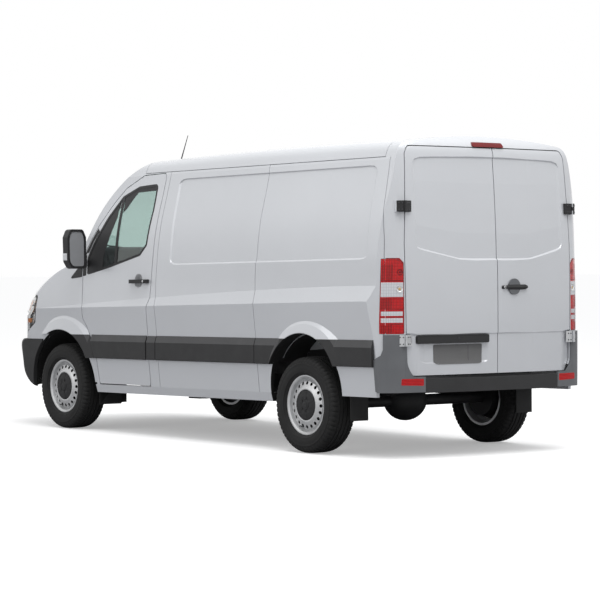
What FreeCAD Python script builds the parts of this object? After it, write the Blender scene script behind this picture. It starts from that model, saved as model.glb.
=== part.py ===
import FreeCAD
import Part
import os
import math
from FreeCAD import Vector, Placement, Rotation

# Cargo van, millimetres. Front faces -Y, the left side is +X, +Z is up and the origin is on the ground.
# The body stands slightly nose down, so its pieces are drawn level and share the placement RAKE.

os.makedirs("parts", exist_ok=True)
doc = FreeCAD.newDocument("cargo_van")
sheet = doc.addObject("Spreadsheet::Sheet", "sizes")

SIZES = [
    ("wheelbase", 3250), ("front_axle_y", -1618), ("front_track", 1710), ("rear_track", 1716),
    ("rake_deg", 0.877), ("body_width", 1982), ("sill_bottom", 340),
    ("tyre_radius", 352), ("tyre_width", 235), ("rim_radius", 206), ("rim_width", 165),
    ("hub_cap_radius", 112), ("wheel_hole_ring", 160), ("wheel_hole_radius", 12.5), ("wheel_holes", 20),
    ("hub_bore", 62), ("stub_radius", 30), ("disc_radius", 140),
    ("floor_top", 672), ("floor_thick", 34), ("wall_inner_half", 890),
    ("shut_gap", 7), ("joint_gap", 0.6), ("seam_width", 5), ("door_thick", 60), ("panel_thick", 30),
    ("glass_thick", 6), ("rear_door_half", 797), ("recess_depth", 9), ("recess_bevel", 12),
    ("arch_front_radius", 470), ("arch_rear_radius", 418), ("flare_half", 999),
    ("strip_low", 617), ("strip_high", 808), ("strip_edge", 755), ("strip_half", 991),
    ("rail_width", 75), ("rail_height", 120), ("rail_half_spacing", 400), ("rail_length", 4900),
    ("axle_tube_radius", 42), ("diff_radius", 150), ("prop_radius", 38), ("kingpin_half", 762),
    ("tank_fillet", 50), ("silencer_radius", 95), ("pipe_radius", 27), ("antenna_length", 200),
    ("steering_wheel_radius", 190), ("steering_rim_radius", 14), ("steering_tilt_deg", 38),
    ("column_radius", 24), ("grille_slats", 5), ("handle_dish_radius", 60),
]
for row, (alias, value) in enumerate(SIZES, start=1):
    sheet.set("A%d" % row, alias)
    sheet.set("B%d" % row, str(value))
    sheet.setAlias("B%d" % row, alias)
doc.recompute()


def size(alias):
    return float(sheet.get(alias))


RAKE = Placement(Vector(0, 0, 0), Rotation(Vector(1, 0, 0), size("rake_deg")))
LEVEL = Placement()
FAR = 3000
WIDE = 1100
sub_parts = []


def keep(label, shape, placement=RAKE):
    """One sub-part whose shape comes from Part's own functions."""
    piece = doc.addObject("Part::Feature", label)
    piece.Label = label
    piece.Shape = shape
    piece.Placement = placement
    sub_parts.append(piece)
    return piece


def primitive(kind, name, placement=LEVEL, **bound):
    """A Part primitive with its sizes bound to the sheet."""
    item = doc.addObject(kind, name)
    for prop, expression in bound.items():
        item.setExpression(prop, expression)
    item.Placement = placement
    return item


def at(x, y, z, axis=None):
    """A placement at a point, with the primitive's own Z turned to the axis given."""
    turn = Rotation() if axis is None else Rotation(Vector(0, 0, 1), Vector(*axis))
    return Placement(Vector(x, y, z), turn)


def joined(label, pieces, placement=RAKE):
    """A fusion of primitives that stays bound to the sheet."""
    fusion = doc.addObject("Part::MultiFuse", label)
    fusion.Label = label
    fusion.Shapes = pieces
    fusion.Placement = placement
    sub_parts.append(fusion)
    return fusion


def spline(points):
    curve = Part.BSplineCurve()
    curve.interpolate(points)
    return curve.toShape()


def box(x0, x1, y0, y1, z0, z1):
    return Part.makeBox(x1 - x0, y1 - y0, z1 - z0, Vector(x0, y0, z0))


def mirrored(shape):
    return shape.mirror(Vector(0, 0, 0), Vector(1, 0, 0))


def both(shape):
    return Part.makeCompound([shape, mirrored(shape)])


def rounded_wire(points, radius):
    """Closed outline through points with each corner rounded by an arc."""
    edges = []
    count = len(points)
    ends = []
    for index in range(count):
        before, corner, after = points[index - 1], points[index], points[(index + 1) % count]
        to_before = before - corner
        to_after = after - corner
        angle = to_before.getAngle(to_after)
        reach = radius / math.tan(angle / 2) if angle < math.pi - 0.02 else 0.0
        reach = min(reach, 0.45 * to_before.Length, 0.45 * to_after.Length)
        if reach < 0.5:
            ends.append((corner, None, corner))
            continue
        first = corner + to_before.normalize() * reach
        last = corner + to_after.normalize() * reach
        bisector = (to_before + to_after).normalize()
        true_radius = reach * math.tan(angle / 2)
        middle = corner + bisector * (true_radius / math.sin(angle / 2) - true_radius)
        ends.append((first, middle, last))
    for index in range(count):
        first, middle, last = ends[index]
        if middle is not None:
            edges.append(Part.Arc(first, middle, last).toShape())
        start = ends[(index + 1) % count][0]
        if (start - last).Length > 1e-6:
            edges.append(Part.LineSegment(last, start).toShape())
    return Part.Wire(edges)


def prism_x(points, x0, x1, radius=0.0):
    """Outline in (y, z) extruded from x0 to x1."""
    wire = rounded_wire([Vector(x0, y, z) for y, z in points], radius)
    return Part.Face(wire).extrude(Vector(x1 - x0, 0, 0))


def prism_y(points, y0, y1, radius=0.0):
    """Outline in (x, z) extruded from y0 to y1."""
    wire = rounded_wire([Vector(x, y0, z) for x, z in points], radius)
    return Part.Face(wire).extrude(Vector(0, y1 - y0, 0))


def prism_z(points, z0, z1, radius=0.0):
    """Outline in (x, y) extruded from z0 to z1."""
    wire = rounded_wire([Vector(x, y, z0) for x, y in points], radius)
    return Part.Face(wire).extrude(Vector(0, 0, z1 - z0))


def between(value, table):
    """Straight interpolation in a short table of (place, size) pairs."""
    if value <= table[0][0]:
        return table[0][1]
    for (a, fa), (b, fb) in zip(table, table[1:]):
        if value <= b:
            return fa + (fb - fa) * (value - a) / (b - a)
    return table[-1][1]


def grown(points, amount):
    """An outline's points moved out along the local normal."""
    result = []
    count = len(points)
    area = sum(points[i - 1][0] * points[i][1] - points[i][0] * points[i - 1][1] for i in range(count))
    side = 1 if area > 0 else -1
    for index in range(count):
        (a0, b0), (a, b), (a1, b1) = points[index - 1], points[index], points[(index + 1) % count]
        n0 = Vector(b - b0, a0 - a, 0).normalize()
        n1 = Vector(b1 - b, a - a1, 0).normalize()
        bisector = (n0 + n1).normalize()
        step = side * amount / max(bisector.dot(n0), 0.5)
        result.append((a + bisector.x * step, b + bisector.y * step))
    return result


# Body surfaces
# The cross-section runs from the sill up the side, over the crease, tumblehome, roof edge and crown.
half_width = size("body_width") / 2
sill_z = size("sill_bottom")
CREASE_FRONT_Y = -1750
CREASE_REAR_Y = 1950
STATIONS = [-2750, -1750, -1150, -550, 50, 650, 1250, 1950, 2750]
ROOF_EDGE_Z = 2080
TUMBLE = [(24, 1268), (34, 1368), (43, 1497), (58, 1632), (83, 1766), (109, 1877), (137, 2003),
          (153, ROOF_EDGE_Z)]


def section_wire(y, inset):
    """Closed cross-section of the body at y, moved inward by inset."""
    share = min(max((y - CREASE_FRONT_Y) / (CREASE_REAR_Y - CREASE_FRONT_Y), 0), 1)
    low = 1022 + 54 * share
    high = low + 8 + 102 * (1 - (1 - share) ** 1.6)
    drop = 14 * ((y - 1300) / 1500) ** 2
    depth = 0.25 * (high - low)
    w = half_width - inset
    top = -drop - inset
    squeeze = (132 + top) / 132
    lower = [(w - 66, sill_z), (w - 48, 405), (w - 30, 600)]
    flank = [(w - 30, 600), (w - 21, 808), (w - 9, 960), (w - 2, low)]
    tumble = [(w - 3 - depth, high), (w - 24 - 8 * depth / 26, 1268)]
    tumble += [(w - narrow, z) for narrow, z in TUMBLE[1:]]
    cant = [(w - 153, ROOF_EDGE_Z), (w - 168, ROOF_EDGE_Z + 46 * squeeze), (w - 184, ROOF_EDGE_Z + 85 * squeeze),
            (w - 206, ROOF_EDGE_Z + 112 * squeeze), (w - 242, 2212 + top)]
    crown = [(w - 242, 2212 + top), (0.6 * w, 2234 + top), (0.3 * w, 2261 + top), (0, 2270 + top)]
    crown = crown + [(-x, z) for x, z in reversed(crown[:-1])]
    runs = [("line", lower[:2]), ("line", lower[1:]), ("curve", flank), ("line", [flank[-1], tumble[0]]),
            ("curve", tumble), ("curve", cant), ("curve", crown)]
    for kind, pairs in reversed(runs[:-1]):
        runs.append((kind, [(-x, z) for x, z in reversed(pairs)]))
    runs.append(("line", [runs[-1][1][-1], lower[0]]))
    edges = []
    for kind, pairs in runs:
        points = [Vector(x, y, z) for x, z in pairs]
        edges.append(spline(points) if kind == "curve" else Part.LineSegment(*points).toShape())
    return Part.Wire(edges)


# The long profile runs from the nose over bonnet, windscreen and roof to the rear doors.
NOSE = [(-2480, 300), (-2522, 520), (-2530, 760), (-2526, 960)]
BONNET = [(-2526, 960), (-2491, 1022), (-2440, 1098), (-2329, 1190), (-2171, 1273), (-2016, 1335),
          (-1850, 1382), (-1672, 1412)]
SCREEN = [(-1672, 1412), (-1554, 1532), (-1350, 1768), (-1211, 1893), (-1071, 1992), (-929, 2076),
          (-780, 2140), (-600, 2198), (-380, 2250), (-100, 2300)]
REAR = [(2380, 2310), (2470, 2270), (2536, 2225), (2574, 2172), (2590, 2100), (2606, 1900),
        (2622, 1600), (2630, 1200), (2630, 800), (2624, 300)]
FRONT_BOW = [(0, 0), (300, 6), (600, 34), (700, 66), (800, 132), (880, 238), (940, 338), (985, 440),
             (1040, 640)]
REAR_BOW = [(0, 0), (400, 9), (700, 28), (786, 40), (860, 64), (905, 96), (950, 150), (985, 230),
            (1040, 420)]
BOW_STATIONS = [0, 300, 600, 800, 880, 940, 985, 1040]
SCREEN_BOW_SHARE = 0.75


def moved_in(points, inset):
    """Points of a profile moved sideways by inset along the local normal."""
    result = []
    for index, (a, b) in enumerate(points):
        a0, b0 = points[max(index - 1, 0)]
        a1, b1 = points[min(index + 1, len(points) - 1)]
        length = math.hypot(a1 - a0, b1 - b0)
        result.append((a + inset * (b1 - b0) / length, b - inset * (a1 - a0) / length))
    return result


def long_wire(x, inset, lowest=250):
    """Closed side profile of the body at x, moved inward by inset."""
    reach = abs(x) * half_width / (half_width - inset)
    front = between(reach, FRONT_BOW)
    rear = between(reach, REAR_BOW)
    nose = [(y + front, z) for y, z in moved_in(NOSE, inset)]
    bonnet = [(y + front, z) for y, z in moved_in(BONNET, inset)]
    screen = [(y + front * SCREEN_BOW_SHARE, z) for y, z in moved_in(SCREEN, inset)]
    back = [(y - rear, z) for y, z in moved_in(REAR, inset)]
    bonnet[-1] = (min(bonnet[-1][0], screen[0][0] - 1), bonnet[-1][1])
    bonnet[0] = nose[-1]
    corners = [(back[-1][0], lowest), (nose[0][0], lowest)]
    runs = [("curve", nose), ("curve", bonnet), ("line", [bonnet[-1], screen[0]]), ("curve", screen),
            ("line", [screen[-1], back[0]]), ("curve", back), ("line", [back[-1], corners[0]]),
            ("line", corners), ("line", [corners[1], nose[0]])]
    edges = []
    for kind, pairs in runs:
        points = [Vector(x, y, z) for y, z in pairs]
        edges.append(spline(points) if kind == "curve" else Part.LineSegment(*points).toShape())
    return Part.Wire(edges)


def body_solid(inset):
    """The whole closed body moved inward by inset: cross-section loft meets side-profile loft."""
    across = Part.makeLoft([section_wire(y, inset) for y in STATIONS], True, False)
    left = [long_wire(x, inset) for x in BOW_STATIONS]
    right = [long_wire(-x, inset) for x in reversed(BOW_STATIONS[1:])]
    along = Part.makeLoft(right + left, True, False)
    return across.common(along)


gap = size("shut_gap")
joint_gap = size("joint_gap")
GROOVE_DEPTH = 14
LAMP_DEPTH = 36
TRIM_PROUD = 12
outer = body_solid(0)
glass_outer = body_solid(gap / 2)
glass_inner = body_solid(gap / 2 + size("glass_thick"))
groove_floor = body_solid(GROOVE_DEPTH)
thin_inner = body_solid(size("panel_thick"))
deep_inner = body_solid(LAMP_DEPTH)
door_inner = body_solid(size("door_thick"))
seal_face = body_solid(size("door_thick") + size("joint_gap"))
trim_outer = body_solid(-TRIM_PROUD)

# The hollow inside: load space and cab in one, with upright lower walls that lean in above.
inner_half = size("wall_inner_half")
floor_top = size("floor_top")
floor_low = floor_top - size("floor_thick")
INNER_SECTION = [(inner_half, floor_top), (inner_half, 1480), (inner_half - 45, 1780), (inner_half - 108, 2060),
                 (inner_half - 160, 2130), (inner_half - 300, 2178), (0, 2212)]
INNER_SECTION += [(-x, z) for x, z in reversed(INNER_SECTION[:-1])]
INNER_PROFILE = [(-1560, floor_top), (-1600, 900), (-1570, 1330), (-1290, 1640), (-1130, 1790), (-850, 1990),
                 (-560, 2105), (-250, 2230), (2505, 2230), (2532, 2090), (2556, 1650), (2560, floor_top)]
hollow = prism_y(INNER_SECTION, -1700, 2600, 60).common(prism_x(INNER_PROFILE, -1000, 1000, 40))
hollow = hollow.common(deep_inner)

# Wheel arches, level: the front one is concentric with its wheel, the rear one a little higher
axle_z = size("tyre_radius")
front_axle_y = size("front_axle_y")
rear_axle_y = front_axle_y + size("wheelbase")
front_arch_r = size("arch_front_radius")
rear_arch_r = size("arch_rear_radius")
front_centre = RAKE.inverse().multVec(Vector(0, front_axle_y, axle_z))
rear_centre = RAKE.inverse().multVec(Vector(0, rear_axle_y, axle_z)) + Vector(0, 0, 105)


def arch(radius, centre, x0, x1, drop=300):
    """Wheel arch space: a round top with straight sides below it."""
    top = Part.makeCylinder(radius, x1 - x0, Vector(x0, centre.y, centre.z), Vector(1, 0, 0))
    return top.fuse(box(x0, x1, centre.y - radius, centre.y + radius, centre.z - drop, centre.z))


arches = arch(front_arch_r, front_centre, 640, WIDE).fuse(arch(rear_arch_r, rear_centre, 640, WIDE))
arches = arches.fuse(mirrored(arches))


def flare(lip_radius, lip_centre, edge_radius, edge_y, edge_z):
    """Brow round a wheel arch: a smooth loft from its outer edge in the skin to the proud lip."""
    lip_half = size("flare_half")
    skin_half = half_width - 24
    rings = []
    for share, x in ((-0.5, skin_half - 60), (0.0, skin_half), (0.45, skin_half + 0.72 * (lip_half - skin_half)),
                     (1.0, lip_half)):
        y = edge_y + share * (lip_centre.y - edge_y)
        z = edge_z + share * (lip_centre.z - edge_z)
        radius = edge_radius + share * (lip_radius + 6 - edge_radius)
        rings.append(Part.Wire([Part.makeCircle(radius, Vector(x, y, z), Vector(1, 0, 0))]))
    brow = Part.makeLoft(rings, True, True)
    return brow.cut(Part.makeCylinder(lip_radius, WIDE, Vector(0, lip_centre.y, lip_centre.z), Vector(1, 0, 0)))


front_flare = flare(front_arch_r, front_centre, 452, -1532, 551)
rear_flare = flare(rear_arch_r, rear_centre, 483, 1698, 484)


def walls(zone, inner=None):
    """The part of the body wall inside a zone: cropped first, then hollowed."""
    piece = outer.common(zone)
    return piece.cut(hollow if inner is None else inner)


def seam(shape, zone):
    """Sink a shallow open joint into the outer skin of a panel along a zone."""
    return shape.cut(zone.cut(groove_floor))


# Shut lines, drawn in side view (y, z) or rear view (x, z)
rail_z = 2096
sill_top = 404
under_strip = 600
bumper_side_y = 2443
door_front_y = 2490
SEAM_B = [(-222, sill_top), (-222, 698), (-244, 1246), (-197, rail_z)]
SEAM_MID = [(1072, sill_top), (1072, 718), (1050, 1236), (1084, rail_z)]
SEAM_REAR = [(2507, under_strip), (2507, 741), (2512, 1510), (2483, rail_z)]
DOOR_FRONT = [(-1290, 1380), (-1270, 942), (-1222, 880), (-1172, 800), (-1100, 640), (-1075, 412), (-352, 412),
              (-352, 1020), (-318, 1110), (-256, 2040), (-270, 2086), (-560, 2080), (-790, 1985),
              (-925, 1875), (-1100, 1690), (-1286, 1450)]
DOOR_WINDOW = [(-1232, 1297), (-1187, 1300), (-895, 1352), (-474, 1440), (-385, 1520), (-345, 1801),
               (-345, 2010), (-610, 1998), (-820, 1925), (-985, 1765), (-1150, 1560), (-1232, 1440)]
DOOR_SEAL = [(-374, 520), (-374, 1016), (-340, 1112), (-326, 1330), (-300, 1330), (-300, 520)]
WINDOW_BAR = [(-842, 1330), (-806, 1336), (-790, 1960), (-820, 1945)]
SAIL = [(-1289, 1283), (-1240, 1291), (-1240, 1470), (-1289, 1412)]


def seam_groove(line, to_rear=True):
    """The open joint beside a seam line, drawn on one panel's side of it."""
    step = size("seam_width") if to_rear else -size("seam_width")
    band = line + [(y + step, z) for y, z in reversed(line)]
    return prism_x(band, -WIDE, WIDE)


def side_dent(stations, sign):
    """Shallow pressed recess in a body side: sections at y, each with its low and high edge and depth."""
    sections = []
    bevel = size("recess_bevel")
    for y, low, high, depth in stations:
        edge = [(narrow, z) for narrow, z in TUMBLE if low + bevel < z < high - bevel]
        skin = lambda z: half_width - between(z, [(z1, n1) for n1, z1 in TUMBLE])
        floor = [(skin(low + bevel) - depth, low + bevel)]
        floor += [(half_width - narrow - depth, z) for narrow, z in edge]
        floor += [(skin(high - bevel) - depth, high - bevel)]
        lips = [(skin(low) + bevel, low - bevel), (skin(high) + bevel, high + bevel)]
        far = [(WIDE, high + bevel), (WIDE, low - bevel)]
        loop = [far[1], lips[0], floor[0]]
        tail = [floor[-1], lips[1], far[0], far[1]]
        points = lambda pairs: [Vector(sign * x, y, z) for x, z in pairs]
        edges = [Part.LineSegment(a, b).toShape() for a, b in zip(points(loop), points(loop)[1:])]
        edges.append(spline(points(floor)))
        edges += [Part.LineSegment(a, b).toShape() for a, b in zip(points(tail), points(tail)[1:])]
        sections.append(Part.Wire(edges))
    return Part.makeLoft(sections, True, True)


def rear_skin(x, z):
    """The tail surface's y at a place in rear view."""
    profile = sorted((level, y) for y, level in REAR)
    return between(z, profile) - between(abs(x), REAR_BOW)


def rear_dent(stations, lip):
    """Shallow pressed recess in the rear doors: sections at x, each with its low and high edge and depth."""
    sections = []
    for x, low, high, depth in stations:
        steps = [low + lip + share * (high - low - 2 * lip) / 4 for share in range(5)]
        floor = [(rear_skin(x, z) - depth, z) for z in steps]
        loop = [(2800, low - lip), (rear_skin(x, low) + lip, low - lip)] + floor
        loop += [(rear_skin(x, high) + lip, high + lip), (2800, high + lip)]
        corners = [Vector(x, y, z) for y, z in loop]
        sections.append(Part.makePolygon(corners + corners[:1]))
    return Part.makeLoft(sections, True, True)


recess = size("recess_depth")
SIDE_RECESS = [(-70, 1420, 1985, -4), (-62, 1398, 2006, 0), (-46, 1380, 2022, recess), (-14, 1365, 2036, recess),
               (30, 1361, 2040, recess), (1180, 1368, 2043, recess), (2270, 1374, 2046, recess),
               (2318, 1378, 2042, recess), (2346, 1392, 2026, recess), (2360, 1410, 2008, 0), (2368, 1430, 1988, -4)]
side_recess = side_dent(SIDE_RECESS, 1)
side_recess_right = side_dent(SIDE_RECESS, -1)
DOOR_RECESS = [(-724, 1500, 2030, -4), (-712, 1478, 2056, 0), (-690, 1450, 2084, recess), (-640, 1434, 2098, recess),
               (-500, 1400, 2104, recess), (-375, 1372, 2106, recess), (-200, 1368, 2108, recess),
               (0, 1368, 2110, recess), (200, 1368, 2108, recess), (316, 1371, 2107, recess),
               (496, 1406, 2104, recess), (640, 1436, 2098, recess), (690, 1450, 2084, recess),
               (712, 1478, 2056, 0), (724, 1500, 2030, -4)]
door_recess = rear_dent(DOOR_RECESS, size("recess_bevel"))
LOWER_STEP = [(x, 500, 846, 5) for x in (-900, -700, -400, 0, 400, 700, 900)]
lower_step = rear_dent(LOWER_STEP, 8)
PLATE_DEPTH = 16
PLATE_RECESS = [(44, 640, 800, 0), (84, 632, 800, PLATE_DEPTH), (400, 632, 800, PLATE_DEPTH),
                (636, 632, 800, PLATE_DEPTH), (700, 650, 800, 0)]
plate_recess = rear_dent(PLATE_RECESS, 16)


# Front doors with their glass, window surround, handle and mirror
def make_front_doors():
    window = prism_x(DOOR_WINDOW, 640, WIDE, 40)
    surround = prism_x(grown(DOOR_WINDOW, -20), 640, WIDE, 30)
    sail = prism_x(SAIL, 640, WIDE, 6).cut(glass_outer)
    dish = Part.makeSphere(size("handle_dish_radius") * 1.6, Vector(1048, -481, 1237))
    panel = outer.common(prism_x(DOOR_FRONT, 800, WIDE, 24)).cut(door_inner)
    panel = panel.cut([window, sail, dish])
    glass = glass_outer.common(prism_x(grown(DOOR_WINDOW, -joint_gap), 640, WIDE, 40)).cut(glass_inner)
    keep("front_door_left", panel)
    keep("front_door_right", mirrored(panel))
    keep("door_glass_left", glass)
    keep("door_glass_right", mirrored(glass))
    bar = prism_x(WINDOW_BAR, 640, WIDE)
    frame = outer.common(window.cut(surround).fuse(bar.common(window))).cut(glass_outer)
    plate = outer.common(prism_x(grown(SAIL, -joint_gap), 640, WIDE, 6)).cut(glass_outer)
    return frame, plate


door_opening = prism_x(grown(DOOR_FRONT, gap), 640, WIDE, 30).fuse(
    box(640, WIDE, -1080, -345, sill_top - 10, 440))
window_frame, sail_plate = make_front_doors()


# Load space sides: sill to drip rail, split at the middle seam; the right front part is a sliding door
low_space = box(-918, 918, -FAR, FAR, 0, floor_low - 1).fuse(
    box(-inner_half + 5, inner_half - 5, -FAR, FAR, 0, floor_top))
CARGO_ZONE = SEAM_B + list(reversed(SEAM_MID))
QUARTER_ZONE = SEAM_MID + [(2483, rail_z), (2512, 1510), (2507, 741), (2493, 702), (bumper_side_y - 3, 668),
                           (bumper_side_y - 3, sill_top)]
SLIDER_TOP = rail_z - 26


def make_sides():
    side = walls(prism_x(CARGO_ZONE, 640, WIDE)).cut(low_space)
    side = seam(side, seam_groove(SEAM_B).common(box(0, WIDE, -FAR, FAR, 0, rail_z))).cut(side_recess)
    keep("side_panel_left", side)
    quarter = walls(prism_x(QUARTER_ZONE, 640, WIDE)).cut(low_space)
    quarter = quarter.fuse(rear_flare.common(box(0, WIDE, 0, FAR, size("strip_high"), 1400))).cut(arches)
    grooves = seam_groove(SEAM_MID).fuse(seam_groove(SEAM_REAR, False))
    quarter = seam(quarter, grooves).cut(side_recess)
    keep("quarter_panel_left", quarter)
    rail_band = prism_x([(-198.4, SLIDER_TOP), (1083, SLIDER_TOP), (1084, rail_z), (-197, rail_z)], -WIDE, -640)
    rail_right = walls(rail_band)
    runner = box(-WIDE, -930, 1040, 2330, 1206, 1240).cut(mirrored(box(0, half_width - 60, -FAR, FAR, 0, 1400)))
    keep("quarter_panel_right", mirrored(quarter).fuse(rail_right).cut(runner))
    slider = CARGO_ZONE[:3] + [(-198.4, SLIDER_TOP - joint_gap), (1082.9, SLIDER_TOP - joint_gap)] + CARGO_ZONE[5:]
    door = outer.common(prism_x(slider, -WIDE, -640)).cut(door_inner)
    edge = prism_x(slider, -WIDE, -640).cut(prism_x(grown(slider, -size("seam_width")), -WIDE, -640, 30))
    keep("sliding_door", seam(door, edge).cut(side_recess_right))
    sill = outer.common(box(884, WIDE, front_centre.y + front_arch_r + 2, rear_centre.y - rear_arch_r - 2,
                            sill_z, sill_top))
    keep("sills", both(sill))


make_sides()

# Roof, tail frame and rear doors
roof_rear_y = 2424
header_y = -560
door_edge = size("rear_door_half")
rear_door_bottom = 556
rear_door_top = 2172
REAR_OPENING = [(-door_edge + 60, rear_door_bottom), (door_edge - 60, rear_door_bottom), (door_edge - 10, 640),
                (door_edge, 1480), (door_edge - 32, 2120), (door_edge - 62, rear_door_top),
                (-door_edge + 62, rear_door_top), (-door_edge + 32, 2120), (-door_edge, 1480), (-door_edge + 10, 640)]
seam_x = -38


def make_roof():
    groove = size("seam_width")
    panel = walls(box(-WIDE, WIDE, header_y, roof_rear_y, rail_z, 2400))
    edges = [box(-WIDE, WIDE, header_y, roof_rear_y, rail_z, rail_z + groove),
             box(-WIDE, WIDE, roof_rear_y - groove, roof_rear_y, rail_z, 2400),
             box(-WIDE, WIDE, header_y, header_y + groove, rail_z, 2400)]
    keep("roof_panel", seam(panel, edges[0].fuse(edges[1:])))


def make_rear_doors():
    """Two doors meet left of the middle; both share one pressed recess, a lower step and the plate recess."""
    doors = outer.common(prism_y(REAR_OPENING, door_front_y, 2800, 36)).cut(door_inner)
    doors = doors.cut([door_recess, lower_step])
    left = doors.common(box(seam_x + gap / 2, 1000, 2300, 2800, 0, 2400)).cut(plate_recess)
    right = doors.common(box(-1000, seam_x - gap / 2, 2300, 2800, 0, 2400))
    keep("rear_door_left", left)
    keep("rear_door_right", right)


make_roof()
make_rear_doors()

# Tail: bumper with its high corners, lamps and the frame behind them
rear_bumper_top = rear_door_bottom - gap - 1
BUMPER_LOW = 432
CORNER_SIDE = [(bumper_side_y, 446), (bumper_side_y, 666), (2497, 700), (2511, 741), (2512, 845), (2800, 845),
               (2800, 440), (2470, 440)]
lamp_low = 849
lamp_high = 1383
corner_half = 640


def make_tail():
    tail_zone = prism_x([SEAM_REAR[0]] + SEAM_REAR[1:] + [(2800, rail_z), (2800, under_strip)], -WIDE, WIDE)
    tail_zone = tail_zone.fuse(box(-WIDE, WIDE, roof_rear_y, 2800, rail_z, 2400))
    frame = walls(tail_zone).cut(prism_y(grown(REAR_OPENING, gap), 2300, 2800, 44))
    frame = frame.cut(low_space.common(deep_inner))
    corner = prism_x(CORNER_SIDE, door_edge + gap + 4, WIDE)
    low_corner = prism_x([(bumper_side_y, 446), (bumper_side_y, 548), (2800, 548), (2800, 438), (2470, 438)],
                         corner_half, WIDE)
    corners = corner.fuse(low_corner)
    centre = box(-corner_half + joint_gap, corner_half - joint_gap, 2440, 2800, BUMPER_LOW, rear_bumper_top)
    zone = corners.fuse([mirrored(corners), centre])
    reflector = prism_y([(656, 484), (842, 490), (838, 536), (656, 534)], 2400, 2800, 8)
    shell = trim_outer.cut(deep_inner)
    ledge = prism_x([(2600, rear_bumper_top - 12), (2700, rear_bumper_top - 34), (2700, 700), (2600, 700)],
                    -corner_half, corner_half)
    corner_left = shell.common(corners.cut(prism_y(grown(REAR_OPENING, gap), 2300, 2800, 44))).cut(reflector)
    keep("rear_bumper", Part.makeCompound([shell.common(centre).cut(ledge), corner_left, mirrored(corner_left)]))
    lens = trim_outer.common(prism_y(grown([(656, 484), (842, 490), (838, 536), (656, 534)], -joint_gap), 2400,
                                     2800, 7)).cut(outer)
    lamp_zone = prism_y([(door_edge + gap + 2, lamp_low), (WIDE, lamp_low), (WIDE, lamp_high),
                         (door_edge + 40, lamp_high), (door_edge + gap + 2, lamp_high - 34)], 2514, 2800, 10)
    lamp = glass_outer.common(lamp_zone).cut(deep_inner)
    high_lamp = trim_outer.common(prism_y([(-150, 2180), (150, 2180), (140, 2214), (-140, 2214)], 2500, 2700,
                                          8)).cut(outer)
    keep("tail_lamps", Part.makeCompound([lamp, mirrored(lamp), high_lamp, lens, mirrored(lens)]))
    pocket = outer.common(lamp_zone).cut(deep_inner)
    frame = frame.cut([pocket, mirrored(pocket), outer.common(zone).cut(deep_inner)])
    return frame


tail_frame = make_tail()


# Rear door hinges: a leaf on the body and one on the door meet at a pin
HINGE_PIN = (812, 2612)
HINGES = [(1706, 1785), (763, 843)]


def hinge_leaves(z0, z1):
    """Body leaf and door leaf with the pin's barrel, for the left side."""
    x, y = HINGE_PIN
    third = (z1 - z0) / 3
    barrel = Part.makeCylinder(9, third - 1, Vector(x, y, z0 + third + 0.5))
    clear = Part.makeCylinder(10, third, Vector(x, y, z0 + third))
    ends = [Part.makeCylinder(9, third, Vector(x, y, z0 + step * third)) for step in (0, 2)]
    body = prism_z([(x + 3, 2300), (x + 3, y - 5), (x + 16, y - 7), (x + 52, y - 36), (x + 52, 2300)], z0, z1)
    body = body.cut(outer)
    body = body.fuse([box(x - 3, x + 8, y - 9, y, z0, z0 + third), box(x - 3, x + 8, y - 9, y, z1 - third, z1)] + ends)
    body = body.cut(clear)
    door = prism_z([(x - 4, 2300), (x - 4, y - 5), (x - 16, y - 6), (x - 68, y - 18), (x - 68, 2300)], z0, z1)
    door = door.cut(outer)
    door = door.fuse([box(x - 12, x + 3, y - 9, y, z0 + third + 0.5, z1 - third - 0.5), barrel])
    door = door.cut([Part.makeCylinder(10, third + 0.5, Vector(x, y, z0)),
                     Part.makeCylinder(10, third + 0.5, Vector(x, y, z1 - third - 0.5)),
                     box(x - 14, x + 20, 2300, y - 11, z0, z1)])
    return body, door


def make_rear_trim():
    leaves = [hinge_leaves(z0, z1) for z0, z1 in HINGES]
    body_leaves = [leaf for leaf, other in leaves]
    door_leaves = [leaf for other, leaf in leaves]
    frame = tail_frame.fuse(body_leaves[:1] + [mirrored(body_leaves[0])])
    keep("tail_frame", frame.fuse([body_leaves[1].cut(trim_outer), mirrored(body_leaves[1].cut(trim_outer))]))
    bar = trim_outer.common(prism_y([(58, 778), (712, 778), (712, 838), (58, 838)], 2400, 2800, 12)).cut(
        outer.cut(lower_step))
    grip = prism_y([(-326, 1166), (-300, 1154), (-100, 1154), (-75, 1166), (-75, 1180), (-100, 1190), (-300, 1190),
                    (-326, 1180)], 2400, 2640, 8).cut(trim_outer)
    foot = Part.makeCylinder(58, 200, Vector(-197, 2440, 1176), Vector(0, 1, 0)).common(trim_outer).cut(outer)
    keep("rear_door_trim_left", Part.makeCompound([bar] + door_leaves))
    keep("rear_door_trim_right", Part.makeCompound([grip.fuse(foot)] + [mirrored(leaf) for leaf in door_leaves]))


make_rear_trim()

# Windscreen and cab frame
SCREEN_OUTLINE = [(-800, 1452), (800, 1452), (835, 1520), (700, 2120), (640, 2165), (-640, 2165),
                  (-700, 2120), (-835, 1520)]


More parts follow.
